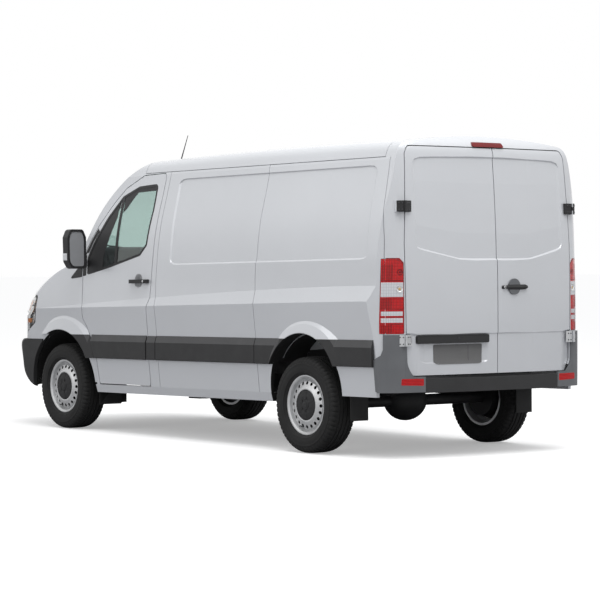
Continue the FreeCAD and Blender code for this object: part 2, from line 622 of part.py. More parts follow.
def make_cab():
    pane = prism_y(SCREEN_OUTLINE, -2200, -300, 60)
    hole = prism_y(grown(SCREEN_OUTLINE, 1), -2200, -300, 60)
    screen = glass_outer.common(pane).common(box(-WIDE, WIDE, -2200, header_y - 90, 1400, 2400)).cut(glass_inner)
    keep("windscreen", screen)
    zone = prism_x([(-1900, 1428), (-1330, 1428), (-1298, 1400), (-1286, 1388.5), (-1319, 1388), (-1319, 840),
                    (-1159, 796), (-1129.4, 600), (-1118, sill_top)] + SEAM_B
                   + [(header_y, rail_z), (header_y, 2400), (-1900, 2400)], -WIDE, WIDE)
    hinge_edge = prism_x([(-1320, 1390), (-1320, 780), (-1155, 786), (-1195, 880), (-1250, 945), (-1285, 1390)],
                         -WIDE, WIDE)
    frame = walls(zone).cut(hole).cut([door_opening, mirrored(door_opening), low_space, hinge_edge.cut(deep_inner)])
    seal = walls(prism_x(DOOR_SEAL, 640, WIDE)).common(seal_face).cut(low_space)
    keep("cab_frame", frame.fuse([seal, mirrored(seal)]))


make_cab()

# Bonnet, wings and the nose between them
bonnet_rear_y = -1716
bonnet_half = 800
BONNET_PLAN = [(-bonnet_half, bonnet_rear_y), (bonnet_half, bonnet_rear_y), (bonnet_half - 30, -2300),
               (bonnet_half - 190, -2700), (-bonnet_half + 190, -2700), (-bonnet_half + 30, -2300)]
bonnet_front_z = 1062
bumper_top = 760
grille_half = 560
HEADLAMP = [(-2800, 764), (-2240, 764), (-2010, 900), (-1952, 1130), (-2110, 1150), (-2480, 1052), (-2800, 1052)]
WING_ZONE = [(-2800, 420), (-2800, 1428), (-1330, 1428), (-1298.6, 1400), (-1280, 1380),
             (-1255, 942), (-1200, 873), (-1160, 795), (-1130, 600), (-1121, 420)]


def make_nose():
    lid = outer.common(prism_z(BONNET_PLAN, bonnet_front_z, 1600, 60)).cut(thin_inner)
    buffer_low = bonnet_front_z - gap - joint_gap + 0.3
    buffer = Part.makeCylinder(9, 12, Vector(420, -2431, buffer_low))
    keep("bonnet", lid.fuse([buffer, mirrored(buffer)]))
    shell = outer.common(box(-WIDE, WIDE, -2800, -1100, bumper_top + 4, 1428)).cut(thin_inner)
    shell = shell.cut(prism_z(grown(BONNET_PLAN, gap), bonnet_front_z - gap, 1600, 66))
    skirt = outer.common(box(-WIDE, WIDE, -1899, -1100, 420, bumper_top + 4)).cut(thin_inner)
    shell = shell.fuse(skirt).common(prism_x(WING_ZONE, -WIDE, WIDE))
    lamp_hole = prism_x(grown(HEADLAMP, joint_gap), grille_half, WIDE, 20)
    middle = box(-grille_half - joint_gap, grille_half + joint_gap, -2800, -2300, 0, bonnet_front_z - gap)
    wings = shell.cut([lamp_hole, mirrored(lamp_hole), middle, door_opening, mirrored(door_opening)])
    brow = front_flare.common(box(0, WIDE, -2600, 0, size("strip_high"), 1400)).cut(
        [door_opening, thin_inner, box(0, WIDE, -FAR, -1899, 0, bumper_top + 4)])
    keep("front_fenders", wings.fuse([brow, mirrored(brow)]).cut(arches))
    lamp = shell.common(prism_x(HEADLAMP, grille_half + joint_gap, WIDE, 20))
    keep("headlamps", both(lamp))
    grille = shell.common(box(-grille_half, grille_half, -2800, -2300, 420, bonnet_front_z - gap - joint_gap))
    count = int(size("grille_slats"))
    pitch = (bonnet_front_z - bumper_top - 70) / count
    slots = [box(-grille_half + 60, grille_half - 60, -2800, -2300, bumper_top + 34 + step * pitch,
                 bumper_top + 34 + (step + 0.62) * pitch) for step in range(count)]
    keep("grille_panel", grille.cut(slots))


make_nose()

# Front bumper: its own long profile under the nose, tucked in at the bottom
FRONT_BUMPER = [(-2380, 363), (-2500, 411), (-2572, 495), (-2592, 580), (-2610, 665), (-2610, 735), (-2578, 760)]


def bumper_wire(x, inset):
    reach = abs(x) * half_width / (half_width - inset)
    front = between(reach, FRONT_BOW) * 0.97
    points = [(y + front + inset, z) for y, z in FRONT_BUMPER]
    if inset > 0:
        points[0] = (points[0][0], FRONT_BUMPER[0][1] - 60)
        points[-1] = (points[-1][0], FRONT_BUMPER[-1][1] + 60)
    back = -1500
    edges = [spline([Vector(x, y, z) for y, z in points])]
    corners = [points[-1], (back, points[-1][1]), (back, points[0][1]), points[0]]
    for start, end in zip(corners, corners[1:]):
        edges.append(Part.LineSegment(Vector(x, start[0], start[1]), Vector(x, end[0], end[1])).toShape())
    return Part.Wire(edges)


def bumper_solid(inset):
    stations = [-x for x in reversed(BOW_STATIONS[1:])] + BOW_STATIONS
    return Part.makeLoft([bumper_wire(x, inset) for x in stations], True, False)


def make_front_bumper():
    zone = box(-WIDE, WIDE, -2800, -1899.3, 300, bumper_top)
    across = Part.makeLoft([section_wire(y, -10) for y in STATIONS], True, False)
    across_in = Part.makeLoft([section_wire(y, 24) for y in STATIONS], True, False)
    shell = bumper_solid(0).common(zone).common(across)
    shell = shell.cut(bumper_solid(26).common(across_in))
    intake = [prism_y([(-430, z), (430, z), (418, z + 26), (-418, z + 26)], -2800, -2300, 8) for z in (470, 512, 554)]
    fog = prism_y([(560, 480), (700, 500), (700, 560), (560, 570)], -2800, -2200, 14)
    keep("front_bumper", shell.cut([arches, fog, mirrored(fog)] + intake))


make_front_bumper()


# Rub strips: bevelled bands along the side, broken at each panel joint, with the flares' lower ends
def strip(y0, y1):
    skin = half_width - 40
    low, high, edge, proud = size("strip_low"), size("strip_high"), size("strip_edge"), size("strip_half")
    band = prism_y([(skin, low), (proud - 4, low), (proud, low + 6), (proud, edge), (proud - 16, high), (skin, high)],
                   y0, y1)
    return band.cut(outer)


def make_trim():
    low, high = size("strip_low"), size("strip_high")
    flares = front_flare.fuse(rear_flare).common(box(0, WIDE, -FAR, FAR, low, high)).cut(outer)
    flares = flares.cut([box(0, WIDE, -FAR, -1899, 0, FAR), box(0, WIDE, -FAR, FAR, 0, low), door_opening])
    front_brow = flares.common(box(0, WIDE, -FAR, 0, 0, FAR)).common(box(0, WIDE, front_centre.y, 0, 0, FAR))
    runs = [strip(-218, 1068), strip(1068 + gap, rear_centre.y), strip(rear_centre.y, bumper_side_y - 4)]
    rear_brow = flares.common(box(0, WIDE, 1068 + gap, FAR, 0, FAR))
    runs[1] = runs[1].fuse(rear_brow.common(box(0, WIDE, 0, rear_centre.y, 0, FAR)))
    runs[2] = runs[2].fuse(rear_brow.common(box(0, WIDE, rear_centre.y, FAR, 0, FAR)))
    runs = [run.cut(arches) for run in runs] + [front_brow.cut(arches)]
    keep("rub_strips", Part.makeCompound(runs + [mirrored(piece) for piece in runs]))
    door_strip = strip(-1150, -358).common(prism_x(grown(DOOR_FRONT, -2), 640, WIDE, 20))
    grip = prism_z([(940, -592), (994, -578), (1008, -556), (1010, -530), (1010, -390), (1008, -364), (994, -342),
                    (940, -330), (940, -352), (980, -366), (988, -396), (988, -524), (980, -554), (940, -570)],
                   1222, 1252, 5).cut(outer)
    shell = prism_y([(1010, 1345), (1150, 1345), (1185, 1400), (1190, 1600), (1160, 1665), (1040, 1665), (1010, 1600)],
                    -1255, -1165, 30)
    front_edges = [edge for edge in shell.Edges if edge.BoundBox.YMax < -1254]
    shell = shell.makeFillet(24, front_edges)
    shell = shell.cut(prism_y([(1022, 1357), (1144, 1357), (1174, 1404), (1178, 1594), (1154, 1653), (1044, 1653),
                               (1022, 1596)], -1172, -1165, 22))
    arm = prism_y([(900, 1330), (1030, 1390), (1030, 1440), (900, 1400)], -1280, -1246, 8).cut(glass_outer)
    arm = arm.fuse(box(1012, 1040, -1262, -1230, 1392, 1438))
    trim = Part.makeCompound([door_strip, grip, window_frame, shell.fuse(arm).fuse(sail_plate)])
    keep("door_trim_left", trim)
    keep("door_trim_right", mirrored(trim))
    flap = box(724, 884, 2072, 2080, 222, floor_low - 0.3)
    keep("mud_flaps", both(flap))


make_trim()
primitive_base = RAKE.multiply(Placement(Vector(700, -250, 2208), Rotation(Vector(0, 0, 1), Vector(0, 0.45, 0.89))))
antenna = primitive("Part::Cone", "antenna", primitive_base, Radius1="5", Radius2="2.5",
                    Height="sizes.antenna_length")
antenna.Label = "antenna"
sub_parts.append(antenna)


# Floor, firewall, liners and rails
def make_floor():
    front_cut = arch(front_arch_r - 1, front_centre, 529, WIDE)
    rear_cut = arch(rear_arch_r - 7, rear_centre, 664, WIDE)
    tools = [front_cut, mirrored(front_cut), rear_cut, mirrored(rear_cut)]
    half = inner_half - 5.3
    plan = [(half, -1560), (half, 2440), (760, 2500), (-760, 2500), (-half, 2440), (-half, -1560)]
    pan = prism_z(plan, floor_low, floor_top).cut(tools)
    wall = prism_x([(-1572, floor_low), (-1612, 900), (-1582, 1330), (-1560, 1330), (-1588, 900), (-1556, floor_low)],
                   -860, 860).cut(tools[:2])
    house = arch(rear_arch_r - 1, rear_centre, 664, 884, 20).cut(arch(rear_arch_r - 7, rear_centre, 672, 900, 20))
    house = house.common(box(600, half, 1000, 2300, floor_low, 1000))
    deck = box(-650, 650, -440, 2400, floor_top - 1, floor_top + 6)
    keep("floor_pan", pan.fuse([deck, house, mirrored(house), wall]))
    liner = Part.makeCylinder(front_arch_r - 2, 420, Vector(530, front_centre.y, front_centre.z), Vector(1, 0, 0))
    liner = liner.cut(Part.makeCylinder(front_arch_r - 8, 500, Vector(500, front_centre.y, front_centre.z),
                                        Vector(1, 0, 0)))
    liner = liner.cut(box(400, WIDE, -FAR, 0, -200, 430)).common(thin_inner)
    flap_y = front_centre.y + front_arch_r - 11
    keep("wheel_liners", both(liner.fuse(box(690, 900, flap_y, flap_y + 8, 236, 460))))


make_floor()
rail_half = size("rail_half_spacing")
rail_base = floor_low - size("rail_height")


def make_chassis():
    rails = []
    for name, sign in (("rail_left", 1), ("rail_right", -1)):
        place = Placement(Vector(sign * rail_half - size("rail_width") / 2, -2440, rail_base), Rotation())
        rails.append(primitive("Part::Box", name, place, Width="sizes.rail_length", Length="sizes.rail_width",
                               Height="sizes.rail_height"))
    for index, y in enumerate((-2420, -900, 400, 1100, 2380)):
        cross = primitive("Part::Box", "crossmember_%d" % index,
                          at(-rail_half, y, floor_low - 90), Length="2 * sizes.rail_half_spacing", Width="60",
                          Height="70")
        rails.append(cross)
    tip = front_centre.y
    arm_plan = [(rail_half + 20, tip - 104), (rail_half + 20, tip + 108), (690, tip + 28), (776, tip + 15),
                (776, tip - 15), (690, tip - 28)]
    for sign in (1, -1):
        wishbone = Part.Face(rounded_wire([Vector(sign * x, y, 226) for x, y in arm_plan], 8)).extrude(
            Vector(0, 0, 24))
        reach = sorted((sign * (rail_half - 20), sign * (rail_half + 40)))
        hanger = box(reach[0], reach[1], -1700, -1530, 226, floor_low - 60)
        mount = sorted((sign * 250, sign * (rail_half - 20)))
        arm = doc.addObject("Part::Feature", "wishbone")
        arm.Shape = wishbone.fuse([hanger, box(mount[0], mount[1], -2060, -2000, 560, 600)])
        rails.append(arm)
    joined("chassis_rails", rails)


make_chassis()

# Axle, shaft, tank, exhaust and engine
track_half = size("rear_track") / 2
stub_r = size("stub_radius")
drum_r = size("disc_radius")
tube_r = size("axle_tube_radius")


def arc_wire(runs):
    edges = []
    for points in runs:
        if len(points) == 3:
            edges.append(Part.Arc(*points).toShape())
        else:
            edges.append(Part.LineSegment(*points).toShape())
    return Part.Wire(edges)


def make_rear_axle():
    """One turned beam with drums and a round differential housing, on two curved leaf springs."""
    half_beam = [(-track_half - 50, 0), (-track_half - 50, stub_r), (-track_half + 40, stub_r),
                 (-track_half + 40, drum_r), (-track_half + 100, drum_r), (-track_half + 100, tube_r), (-170, tube_r)]
    near = [Vector(x, rear_axle_y + r, axle_z) for x, r in half_beam]
    far = [Vector(-x, rear_axle_y + r, axle_z) for x, r in reversed(half_beam)]
    housing_top = Vector(0, rear_axle_y + size("diff_radius"), axle_z)
    line = [pair for pair in zip(near, near[1:])] + [(near[-1], housing_top, far[0])]
    line += [pair for pair in zip(far, far[1:])] + [(far[-1], near[0])]
    beam = Part.Face(arc_wire(line)).revolve(Vector(0, rear_axle_y, axle_z), Vector(1, 0, 0), 360)
    nose = Part.makeCone(90, 46, size("diff_radius") - 0.6, Vector(0, rear_axle_y, axle_z), Vector(0, -1, 0.02))
    x = rail_half - 30
    ends = [(rear_axle_y - 640, 484), (rear_axle_y + 640, 500)]
    low = [Vector(x, ends[0][0], ends[0][1]), Vector(x, rear_axle_y, axle_z + tube_r - 2), Vector(x, *ends[1])]
    high = [point + Vector(0, 0, 36) for point in low]
    leaf = Part.Face(arc_wire([low, (low[2], high[2]), list(reversed(high)), (high[0], low[0])])).extrude(
        Vector(60, 0, 0))
    eyes = [box(x, x + 60, y - 30, y + 30, 478, rail_base - 0.3).transformed(RAKE.toMatrix())
            for y in (rear_axle_y - 625, rear_axle_y + 640)]
    leaf = leaf.fuse(eyes)
    keep("rear_axle", beam.fuse([nose, leaf, mirrored(leaf)]), LEVEL)


make_rear_axle()
gearbox_end = Vector(0, -1000, 430)
diff_centre = RAKE.inverse().multVec(Vector(0, rear_axle_y, axle_z))
shaft_line = diff_centre - gearbox_end


def make_driveline():
    place = RAKE.multiply(Placement(gearbox_end + Vector(0, 0.3, 0), Rotation(Vector(0, 0, 1), shaft_line)))
    shaft = primitive("Part::Cylinder", "propshaft", place, Radius="sizes.prop_radius")
    shaft.Height = shaft_line.Length - size("diff_radius") - 0.6
    shaft.Label = "propshaft"
    sub_parts.append(shaft)
    block = primitive("Part::Box", "engine_body", at(-249.7, -2330, 430), Length="499.4", Width="610", Height="580")
    gearbox = primitive("Part::Box", "gearbox", at(-110, -1720, 350), Length="220", Width="716", Height="190")
    joined("engine_block", [block, gearbox])
    tank = primitive("Part::Box", "tank_body", at(90, -420, 350), Length="sizes.rail_half_spacing - 129",
                     Width="750", Height="sizes.floor_top - sizes.floor_thick - 350.3")
    doc.recompute()
    rounded = doc.addObject("Part::Fillet", "fuel_tank")
    rounded.Base = tank
    radius = size("tank_fillet")
    rounded.Edges = [(index + 1, radius, radius) for index in range(len(tank.Shape.Edges))]
    rounded.Label = "fuel_tank"
    rounded.Placement = RAKE
    sub_parts.append(rounded)
    back = (0, 1, 0)
    run = [primitive("Part::Cylinder", "silencer", at(-590, 420, 420, back), Radius="sizes.silencer_radius",
                     Height="560"),
           primitive("Part::Cylinder", "front_pipe", at(-590, -1080, 420, back), Radius="sizes.pipe_radius",
                     Height="1500"),
           primitive("Part::Cylinder", "tail_pipe", at(-590, 980, 420, back), Radius="sizes.pipe_radius",
                     Height="190")]
    for index, y in enumerate((500, 880, -700)):
        run.append(primitive("Part::Box", "strap_%d" % index, at(-594, y, 420), Length="8", Width="12",
                             Height="sizes.floor_top - sizes.floor_thick - 420.3"))
    joined("exhaust", run)


make_driveline()

# Cab interior
WHEEL_CENTRE = Vector(430, -1160, 1250)
COLUMN_AXIS = Rotation(Vector(1, 0, 0), -size("steering_tilt_deg"))


def seat(x0, x1):
    base = box(x0 + 30, x1 - 30, -1080, -640, floor_top, 900)
    cushion = prism_x([(-1130, 900), (-1140, 1010), (-620, 980), (-620, 900)], x0, x1, 30)
    back = prism_x([(-740, 980), (-640, 980), (-500, 1590), (-585, 1600)], x0, x1, 30)
    return base.fuse([cushion, back])


def make_cab_inside():
    dash = prism_x([(-1580.5, 1010), (-1560.4, 1320), (-1440, 1352), (-1310, 1300), (-1280, 1190), (-1330, 1060),
                    (-1450, 990)], -858, 858, 14)
    sleeve = Part.makeCylinder(44, 230, Vector(0, 0, -330)).transformed(
        Placement(WHEEL_CENTRE, COLUMN_AXIS).toMatrix())
    bore = Part.makeCylinder(size("column_radius") + 0.4, 300, Vector(0, 0, -300)).transformed(
        Placement(WHEEL_CENTRE, COLUMN_AXIS).toMatrix())
    sleeve = sleeve.common(box(300, 560, -1600, -1000, 900, 1400))
    keep("dashboard", dash.fuse(sleeve).cut(bore))
    keep("cab_seats", Part.makeCompound([seat(170, 700), seat(-760, 60)]))
    place = RAKE.multiply(Placement(WHEEL_CENTRE, COLUMN_AXIS))
    ring = primitive("Part::Torus", "wheel_ring", Radius1="sizes.steering_wheel_radius",
                     Radius2="sizes.steering_rim_radius")
    spoke = primitive("Part::Box", "cross_spoke", at(-size("steering_wheel_radius"), -16, -10),
                      Length="2 * sizes.steering_wheel_radius", Width="32", Height="18")
    lower = primitive("Part::Box", "lower_spoke", at(-16, -size("steering_wheel_radius"), -10), Length="32",
                      Width="sizes.steering_wheel_radius", Height="18")
    boss = primitive("Part::Cylinder", "wheel_boss", at(0, 0, -22), Radius="70", Height="40")
    column = primitive("Part::Cylinder", "wheel_column", at(0, 0, -200), Radius="sizes.column_radius", Height="190")
    joined("steering_wheel", [ring, spoke, lower, boss, column], place)


make_cab_inside()


# Wheels: turned tyre and rim, the rim's disc pierced by a ring of round holes
def outline_edges(points):
    return [Part.LineSegment(Vector(a[0], a[1], 0), Vector(b[0], b[1], 0))
            for a, b in zip(points, points[1:] + points[:1])]


def plane_of(body, role):
    return [feature for feature in body.Origin.OriginFeatures if feature.Role == role][0]


def turned(label, points, place):
    """A body of revolution about the X axis from a closed (x, r) outline."""
    body = doc.addObject("PartDesign::Body", label)
    body.Label = label
    sketch = body.newObject("Sketcher::SketchObject", label + "_outline")
    sketch.AttachmentSupport = [(plane_of(body, "XY_Plane"), "")]
    sketch.MapMode = "FlatFace"
    sketch.addGeometry(outline_edges(points), False)
    turn = body.newObject("PartDesign::Revolution", label + "_turn")
    turn.Profile = sketch
    turn.ReferenceAxis = (sketch, ["H_Axis"])
    turn.Angle = 360
    body.Placement = place
    doc.recompute()
    sub_parts.append(body)
    return body


def pierce(body, label):
    """A ring of holes through the wheel disc, one pocket repeated round the axle."""
    sketch = body.newObject("Sketcher::SketchObject", label + "_hole")
    sketch.AttachmentSupport = [(plane_of(body, "YZ_Plane"), "")]
    sketch.MapMode = "FlatFace"
    sketch.addGeometry(Part.Circle(Vector(size("wheel_hole_ring"), 0, 0), Vector(0, 0, 1),
                                   size("wheel_hole_radius")), False)
    pocket = body.newObject("PartDesign::Pocket", label + "_pocket")
    pocket.Profile = sketch
    pocket.Type = "ThroughAll"
    pocket.Midplane = True
    doc.recompute()
    ring = body.newObject("PartDesign::PolarPattern", label + "_ring")
    ring.Originals = [pocket]
    ring.Axis = (sketch, ["N_Axis"])
    ring.Angle = 360
    ring.Occurrences = int(size("wheel_holes"))
    body.Tip = ring
    doc.recompute()


tyre_r = size("tyre_radius")
half_tyre = size("tyre_width") / 2
bead = size("rim_radius")
half_rim = size("rim_width") / 2
cap_r = size("hub_cap_radius")
hole_ring = size("wheel_hole_ring")
TYRE = [(half_rim - 4.6, bead + 0.4), (half_rim - 0.6, bead + 12.4), (half_tyre, bead + 62),
        (half_tyre - 10, tyre_r - 26), (half_tyre - 34, tyre_r)]
TYRE += [(-x, r) for x, r in reversed(TYRE)]
RIM = [(-half_rim - 8, bead + 12), (-half_rim, bead + 12), (-half_rim + 4, bead), (-20, bead - 6), (0, bead - 24),
       (30, bead - 24), (48, bead - 4), (half_rim - 4, bead), (half_rim, bead + 12), (half_rim + 9, bead + 12),
       (half_rim + 9, bead + 4), (half_rim, bead - 6), (60, bead - 12), (50, bead - 20), (56, hole_ring + 18),
       (72, hole_ring + 12), (80, hole_ring - 12), (88, cap_r + 18), (91, cap_r + 8), (90, cap_r + 1), (84, cap_r),
       (91, cap_r - 8), (96, 66), (94, 40), (99, 34), (99, 0.0), (60, 0.0), (60, stub_r + 0.4), (-10, stub_r + 0.4),
       (-10, size("hub_bore")), (52, size("hub_bore") + 6), (74, cap_r + 8), (70, hole_ring - 14),
       (62, hole_ring + 8), (44, hole_ring + 14), (38, bead - 30), (-4, bead - 30), (-24, bead - 14),
       (-half_rim - 8, bead - 6)]
wheels = [("front_left", size("front_track") / 2, front_axle_y, 0),
          ("front_right", -size("front_track") / 2, front_axle_y, 180),
          ("rear_left", track_half, rear_axle_y, 0), ("rear_right", -track_half, rear_axle_y, 180)]
for name, x, y, turn in wheels:
    place = Placement(Vector(x, y, axle_z), Rotation(Vector(0, 0, 1), turn))
    turned("tyre_" + name, TYRE, place)
    rim = turned("rim_" + name, RIM, place)
    pierce(rim, "rim_" + name)


def make_knuckle(label, sign):
    """Upright with its stub shaft, brake disc, steering arm and lower ball pin."""
    x = size("kingpin_half")
    across = (sign, 0, 0)
    stub = primitive("Part::Cylinder", label + "_stub", at(sign * x, front_axle_y, axle_z, across),
                     Radius="sizes.stub_radius", Height="sizes.front_track / 2 + 50 - sizes.kingpin_half")
    disc = primitive("Part::Cylinder", label + "_disc", at(sign * (x + 32), front_axle_y, axle_z, across),
                     Radius="sizes.disc_radius", Height="24")
    ball = primitive("Part::Cylinder", label + "_ball", at(sign * x, front_axle_y, 225.8), Radius="14", Height="40")
    upright = primitive("Part::Box", label + "_upright", at(sign * x - 17, front_axle_y - 44, 232), Length="34",
                        Width="88", Height="238")
    arm = primitive("Part::Box", label + "_arm", at(sign * x - 14, front_axle_y + 40, 262), Length="28", Width="90",
                    Height="28")
    joined(label, [stub, disc, ball, upright, arm], LEVEL)


make_knuckle("knuckle_left", 1)
make_knuckle("knuckle_right", -1)

doc.recompute()
for item in doc.Objects:
    if "Invalid" in item.State or "Error" in item.State:
        raise RuntimeError("%s did not compute: %s" % (item.Label, item.State))
for piece in sub_parts:
    shape = piece.Shape
    if shape.isNull() or not shape.isValid():
        raise RuntimeError("%s has no valid shape" % piece.Label)
    print(piece.Label, [round(solid.Volume / 1e6, 2) for solid in shape.Solids])
for piece in sub_parts:
    piece.Shape.exportStep("parts/%s.step" % piece.Label)
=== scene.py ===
"""Cargo van: finishes, tyres, seals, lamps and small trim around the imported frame. Metres, van frame."""
import math

import bmesh
import bpy
from mathutils import Matrix, Vector
from mathutils.bvhtree import BVHTree


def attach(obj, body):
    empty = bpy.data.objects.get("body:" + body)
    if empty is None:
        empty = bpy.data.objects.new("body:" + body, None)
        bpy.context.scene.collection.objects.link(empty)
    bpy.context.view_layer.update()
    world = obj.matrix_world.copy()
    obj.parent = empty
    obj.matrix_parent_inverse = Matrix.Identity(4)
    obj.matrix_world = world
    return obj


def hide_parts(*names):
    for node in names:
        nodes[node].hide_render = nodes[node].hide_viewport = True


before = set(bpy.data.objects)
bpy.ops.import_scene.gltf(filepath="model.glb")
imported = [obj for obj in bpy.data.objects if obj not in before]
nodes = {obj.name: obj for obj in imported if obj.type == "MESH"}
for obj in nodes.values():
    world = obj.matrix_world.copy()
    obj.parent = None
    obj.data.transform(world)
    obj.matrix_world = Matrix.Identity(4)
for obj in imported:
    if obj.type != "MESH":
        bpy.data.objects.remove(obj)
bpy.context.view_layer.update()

# The body is drawn level in millimetres and stands nose down by this angle.
RAKE_DEG = 0.877
MM = 0.001
RAKE = Matrix.Rotation(math.radians(RAKE_DEG), 4, "X") @ Matrix.Scale(MM, 4)
UNRAKE = RAKE.inverted()
VAN = Matrix.Scale(MM, 4)


# Materials

def put(shader_node, values):
    """Sets inputs of a shader node."""
    for key, value in values.items():
        shader_node.inputs[key].default_value = value


def add_node(tree, kind, values=None):
    made = tree.nodes.new("ShaderNode" + kind)
    put(made, values or {})
    return made


def link(source, output, target, entry):
    source.id_data.links.new(source.outputs[output], target.inputs[entry])


def add_ramp(tree, *stops):
    """A colour ramp from places and colours: its two ends first, then what lies between."""
    ramp = add_node(tree, "ValToRGB")
    elements = ramp.color_ramp.elements
    for index, (place, colour) in enumerate(stops):
        element = elements[index] if index < 2 else elements.new(place)
        element.position = place
        element.color = (*colour, 1)
    return ramp


def add_noise(tree, scale, detail):
    """A noise texture on the object's own coordinates, in metres."""
    noise = add_node(tree, "TexNoise", {"Scale": scale, "Detail": detail, "Roughness": 0.5})
    link(add_node(tree, "TexCoord"), "Object", noise, "Vector")
    return noise


def vary_colour(shader, colour, spread, scale):
    """Base colour that wanders a little about its mean."""
    tree = shader.id_data
    ramp = add_ramp(tree, (0.3, [max(c * (1 - spread), 0) for c in colour]),
                    (0.7, [min(c * (1 + spread), 1) for c in colour]))
    link(add_noise(tree, scale, 3.0), "Fac", ramp, "Fac")
    link(ramp, "Color", shader, "Base Color")


def vary_roughness(shader, low, high, scale):
    tree = shader.id_data
    spread = add_node(tree, "MapRange", {"To Min": low, "To Max": high})
    link(add_noise(tree, scale, 4.0), "Fac", spread, "Value")
    link(spread, "Result", shader, "Roughness")


def add_bump(shader, source, output, depth, strength):
    bump = add_node(shader.id_data, "Bump", {"Strength": strength, "Distance": depth})
    link(source, output, bump, "Height")
    link(bump, "Normal", shader, "Normal")


def new_shader(name, values):
    material = bpy.data.materials.new(name)
    material.use_nodes = True
    shader = material.node_tree.nodes["Principled BSDF"]
    put(shader, values)
    return material, shader


def surface(name, colour, wander, gloss, grain, values):
    """A finish from its colour's wander, the range of its roughness and its grain in relief."""
    material, shader = new_shader(name, values)
    vary_colour(shader, colour, *wander)
    vary_roughness(shader, *gloss)
    if grain:
        scale, depth, strength = grain
        add_bump(shader, add_noise(shader.id_data, scale, 2.0), "Fac", depth, strength)
    return material


def paint(name, colour, metallic=0.25, coat=0.6, rough=0.34):
    """Metallic lacquer: fine flake, faint orange peel and a clear coat."""
    return surface(name, colour, (0.015, 1.6), (rough - 0.03, rough + 0.03, 9.0), (380.0, 0.00004, 0.25),
                   {"Metallic": metallic, "Coat Weight": coat, "Coat Roughness": 0.08})


def moulded(name, colour, rough=0.6, grain=900.0, depth=0.00012, spread=0.08):
    """Grained plastic or rubber with a little weathering."""
    return surface(name, colour, (spread, 5.0), (rough - 0.08, rough + 0.08, 12.0), (grain, depth, 0.5),
                   {"Specular IOR Level": 0.35})


def metal(name, colour, rough=0.4, metallic=0.9, spread=0.08):
    return surface(name, colour, (spread, 14.0), (rough - 0.08, rough + 0.1, 22.0), (150.0, 0.0001, 0.25),
                   {"Metallic": metallic})


def clear(name, colour, rough=0.02, transmission=1.0):
    """Tinted glass or lens with faint smears in its gloss."""
    return surface(name, colour, (0.03, 3.0), (rough, rough + 0.03, 6.0), None,
                   {"Transmission Weight": transmission, "IOR": 1.5})


def lens(name, colour, shade):
    """Moulded lamp lens: fine upright and level optic ribs under a glossy face."""
    material, shader = new_shader(name, {"Specular IOR Level": 0.3, "Coat Weight": 0.2,
                                         "Coat Roughness": 0.04})
    tree = shader.id_data
    place = add_node(tree, "TexCoord")
    both_ways = add_node(tree, "Math")
    both_ways.operation = "MULTIPLY"
    for entry, (direction, scale) in enumerate((("Z", 30.0), ("X", 34.0))):
        wave = add_node(tree, "TexWave", {"Scale": scale, "Distortion": 0.0})
        wave.bands_direction = direction
        link(place, "Object", wave, "Vector")
        link(wave, "Fac", both_ways, entry)
    ramp = add_ramp(tree, (0.0, shade), (0.45, colour))
    link(both_ways, "Value", ramp, "Fac")
    link(ramp, "Color", shader, "Base Color")
    add_bump(shader, both_ways, "Value", 0.0008, 0.35)
    vary_roughness(shader, 0.10, 0.16, 9.0)
    return material


PAINT = paint("body_paint", (0.60, 0.615, 0.64))
INNER = paint("inner_paint", (0.36, 0.37, 0.38), 0.1, 0.1, 0.5)
DARK = moulded("black_plastic", (0.022, 0.022, 0.023), 0.5)
STRIP = moulded("strip_plastic", (0.026, 0.026, 0.027), 0.6)
GREY = moulded("grey_plastic", (0.135, 0.14, 0.148), 0.5)
BUMPER = moulded("bumper_plastic", (0.029, 0.029, 0.030), 0.6)
TYRE = moulded("tyre_rubber", (0.014, 0.014, 0.014), 0.8, 500, 0.0003, 0.2)
FLAP = moulded("flap_rubber", (0.02, 0.02, 0.02), 0.7, 300, 0.0003)
GLASS = clear("window_glass", (0.60, 0.72, 0.69))
LAMP_CLEAR = clear("lamp_clear", (0.93, 0.94, 0.95))
LAMP_RED = lens("lamp_red", (0.74, 0.010, 0.014), (0.26, 0.004, 0.005))
# Painted shade: a darker copy of the red lens, laid on the lamp's part beyond its middle fold.
LAMP_RED_PAINTED_SHADE = lens("lamp_red_painted_shade", (0.52, 0.008, 0.010), (0.16, 0.003, 0.004))
LAMP_AMBER = clear("lamp_amber", (0.9, 0.32, 0.05), 0.08, 0.35)
WHEEL = metal("wheel_silver", (0.58, 0.585, 0.59), 0.35, 0.5)
CHASSIS = moulded("chassis_paint", (0.02, 0.02, 0.021), 0.55, 120, 0.0004, 0.25)
CAST = metal("cast_block", (0.14, 0.14, 0.145), 0.6, 0.7)
STEEL = metal("exhaust_steel", (0.20, 0.18, 0.165), 0.5, 0.8, 0.2)
BRIGHT = metal("bright_steel", (0.62, 0.63, 0.64), 0.3)
TRIM = moulded("trim_plastic", (0.035, 0.037, 0.04), 0.6)
FABRIC = moulded("seat_fabric", (0.045, 0.05, 0.06), 0.9, 1500, 0.0008, 0.2)
CAP = moulded("hub_cap_plastic", (0.014, 0.014, 0.015), 0.55)
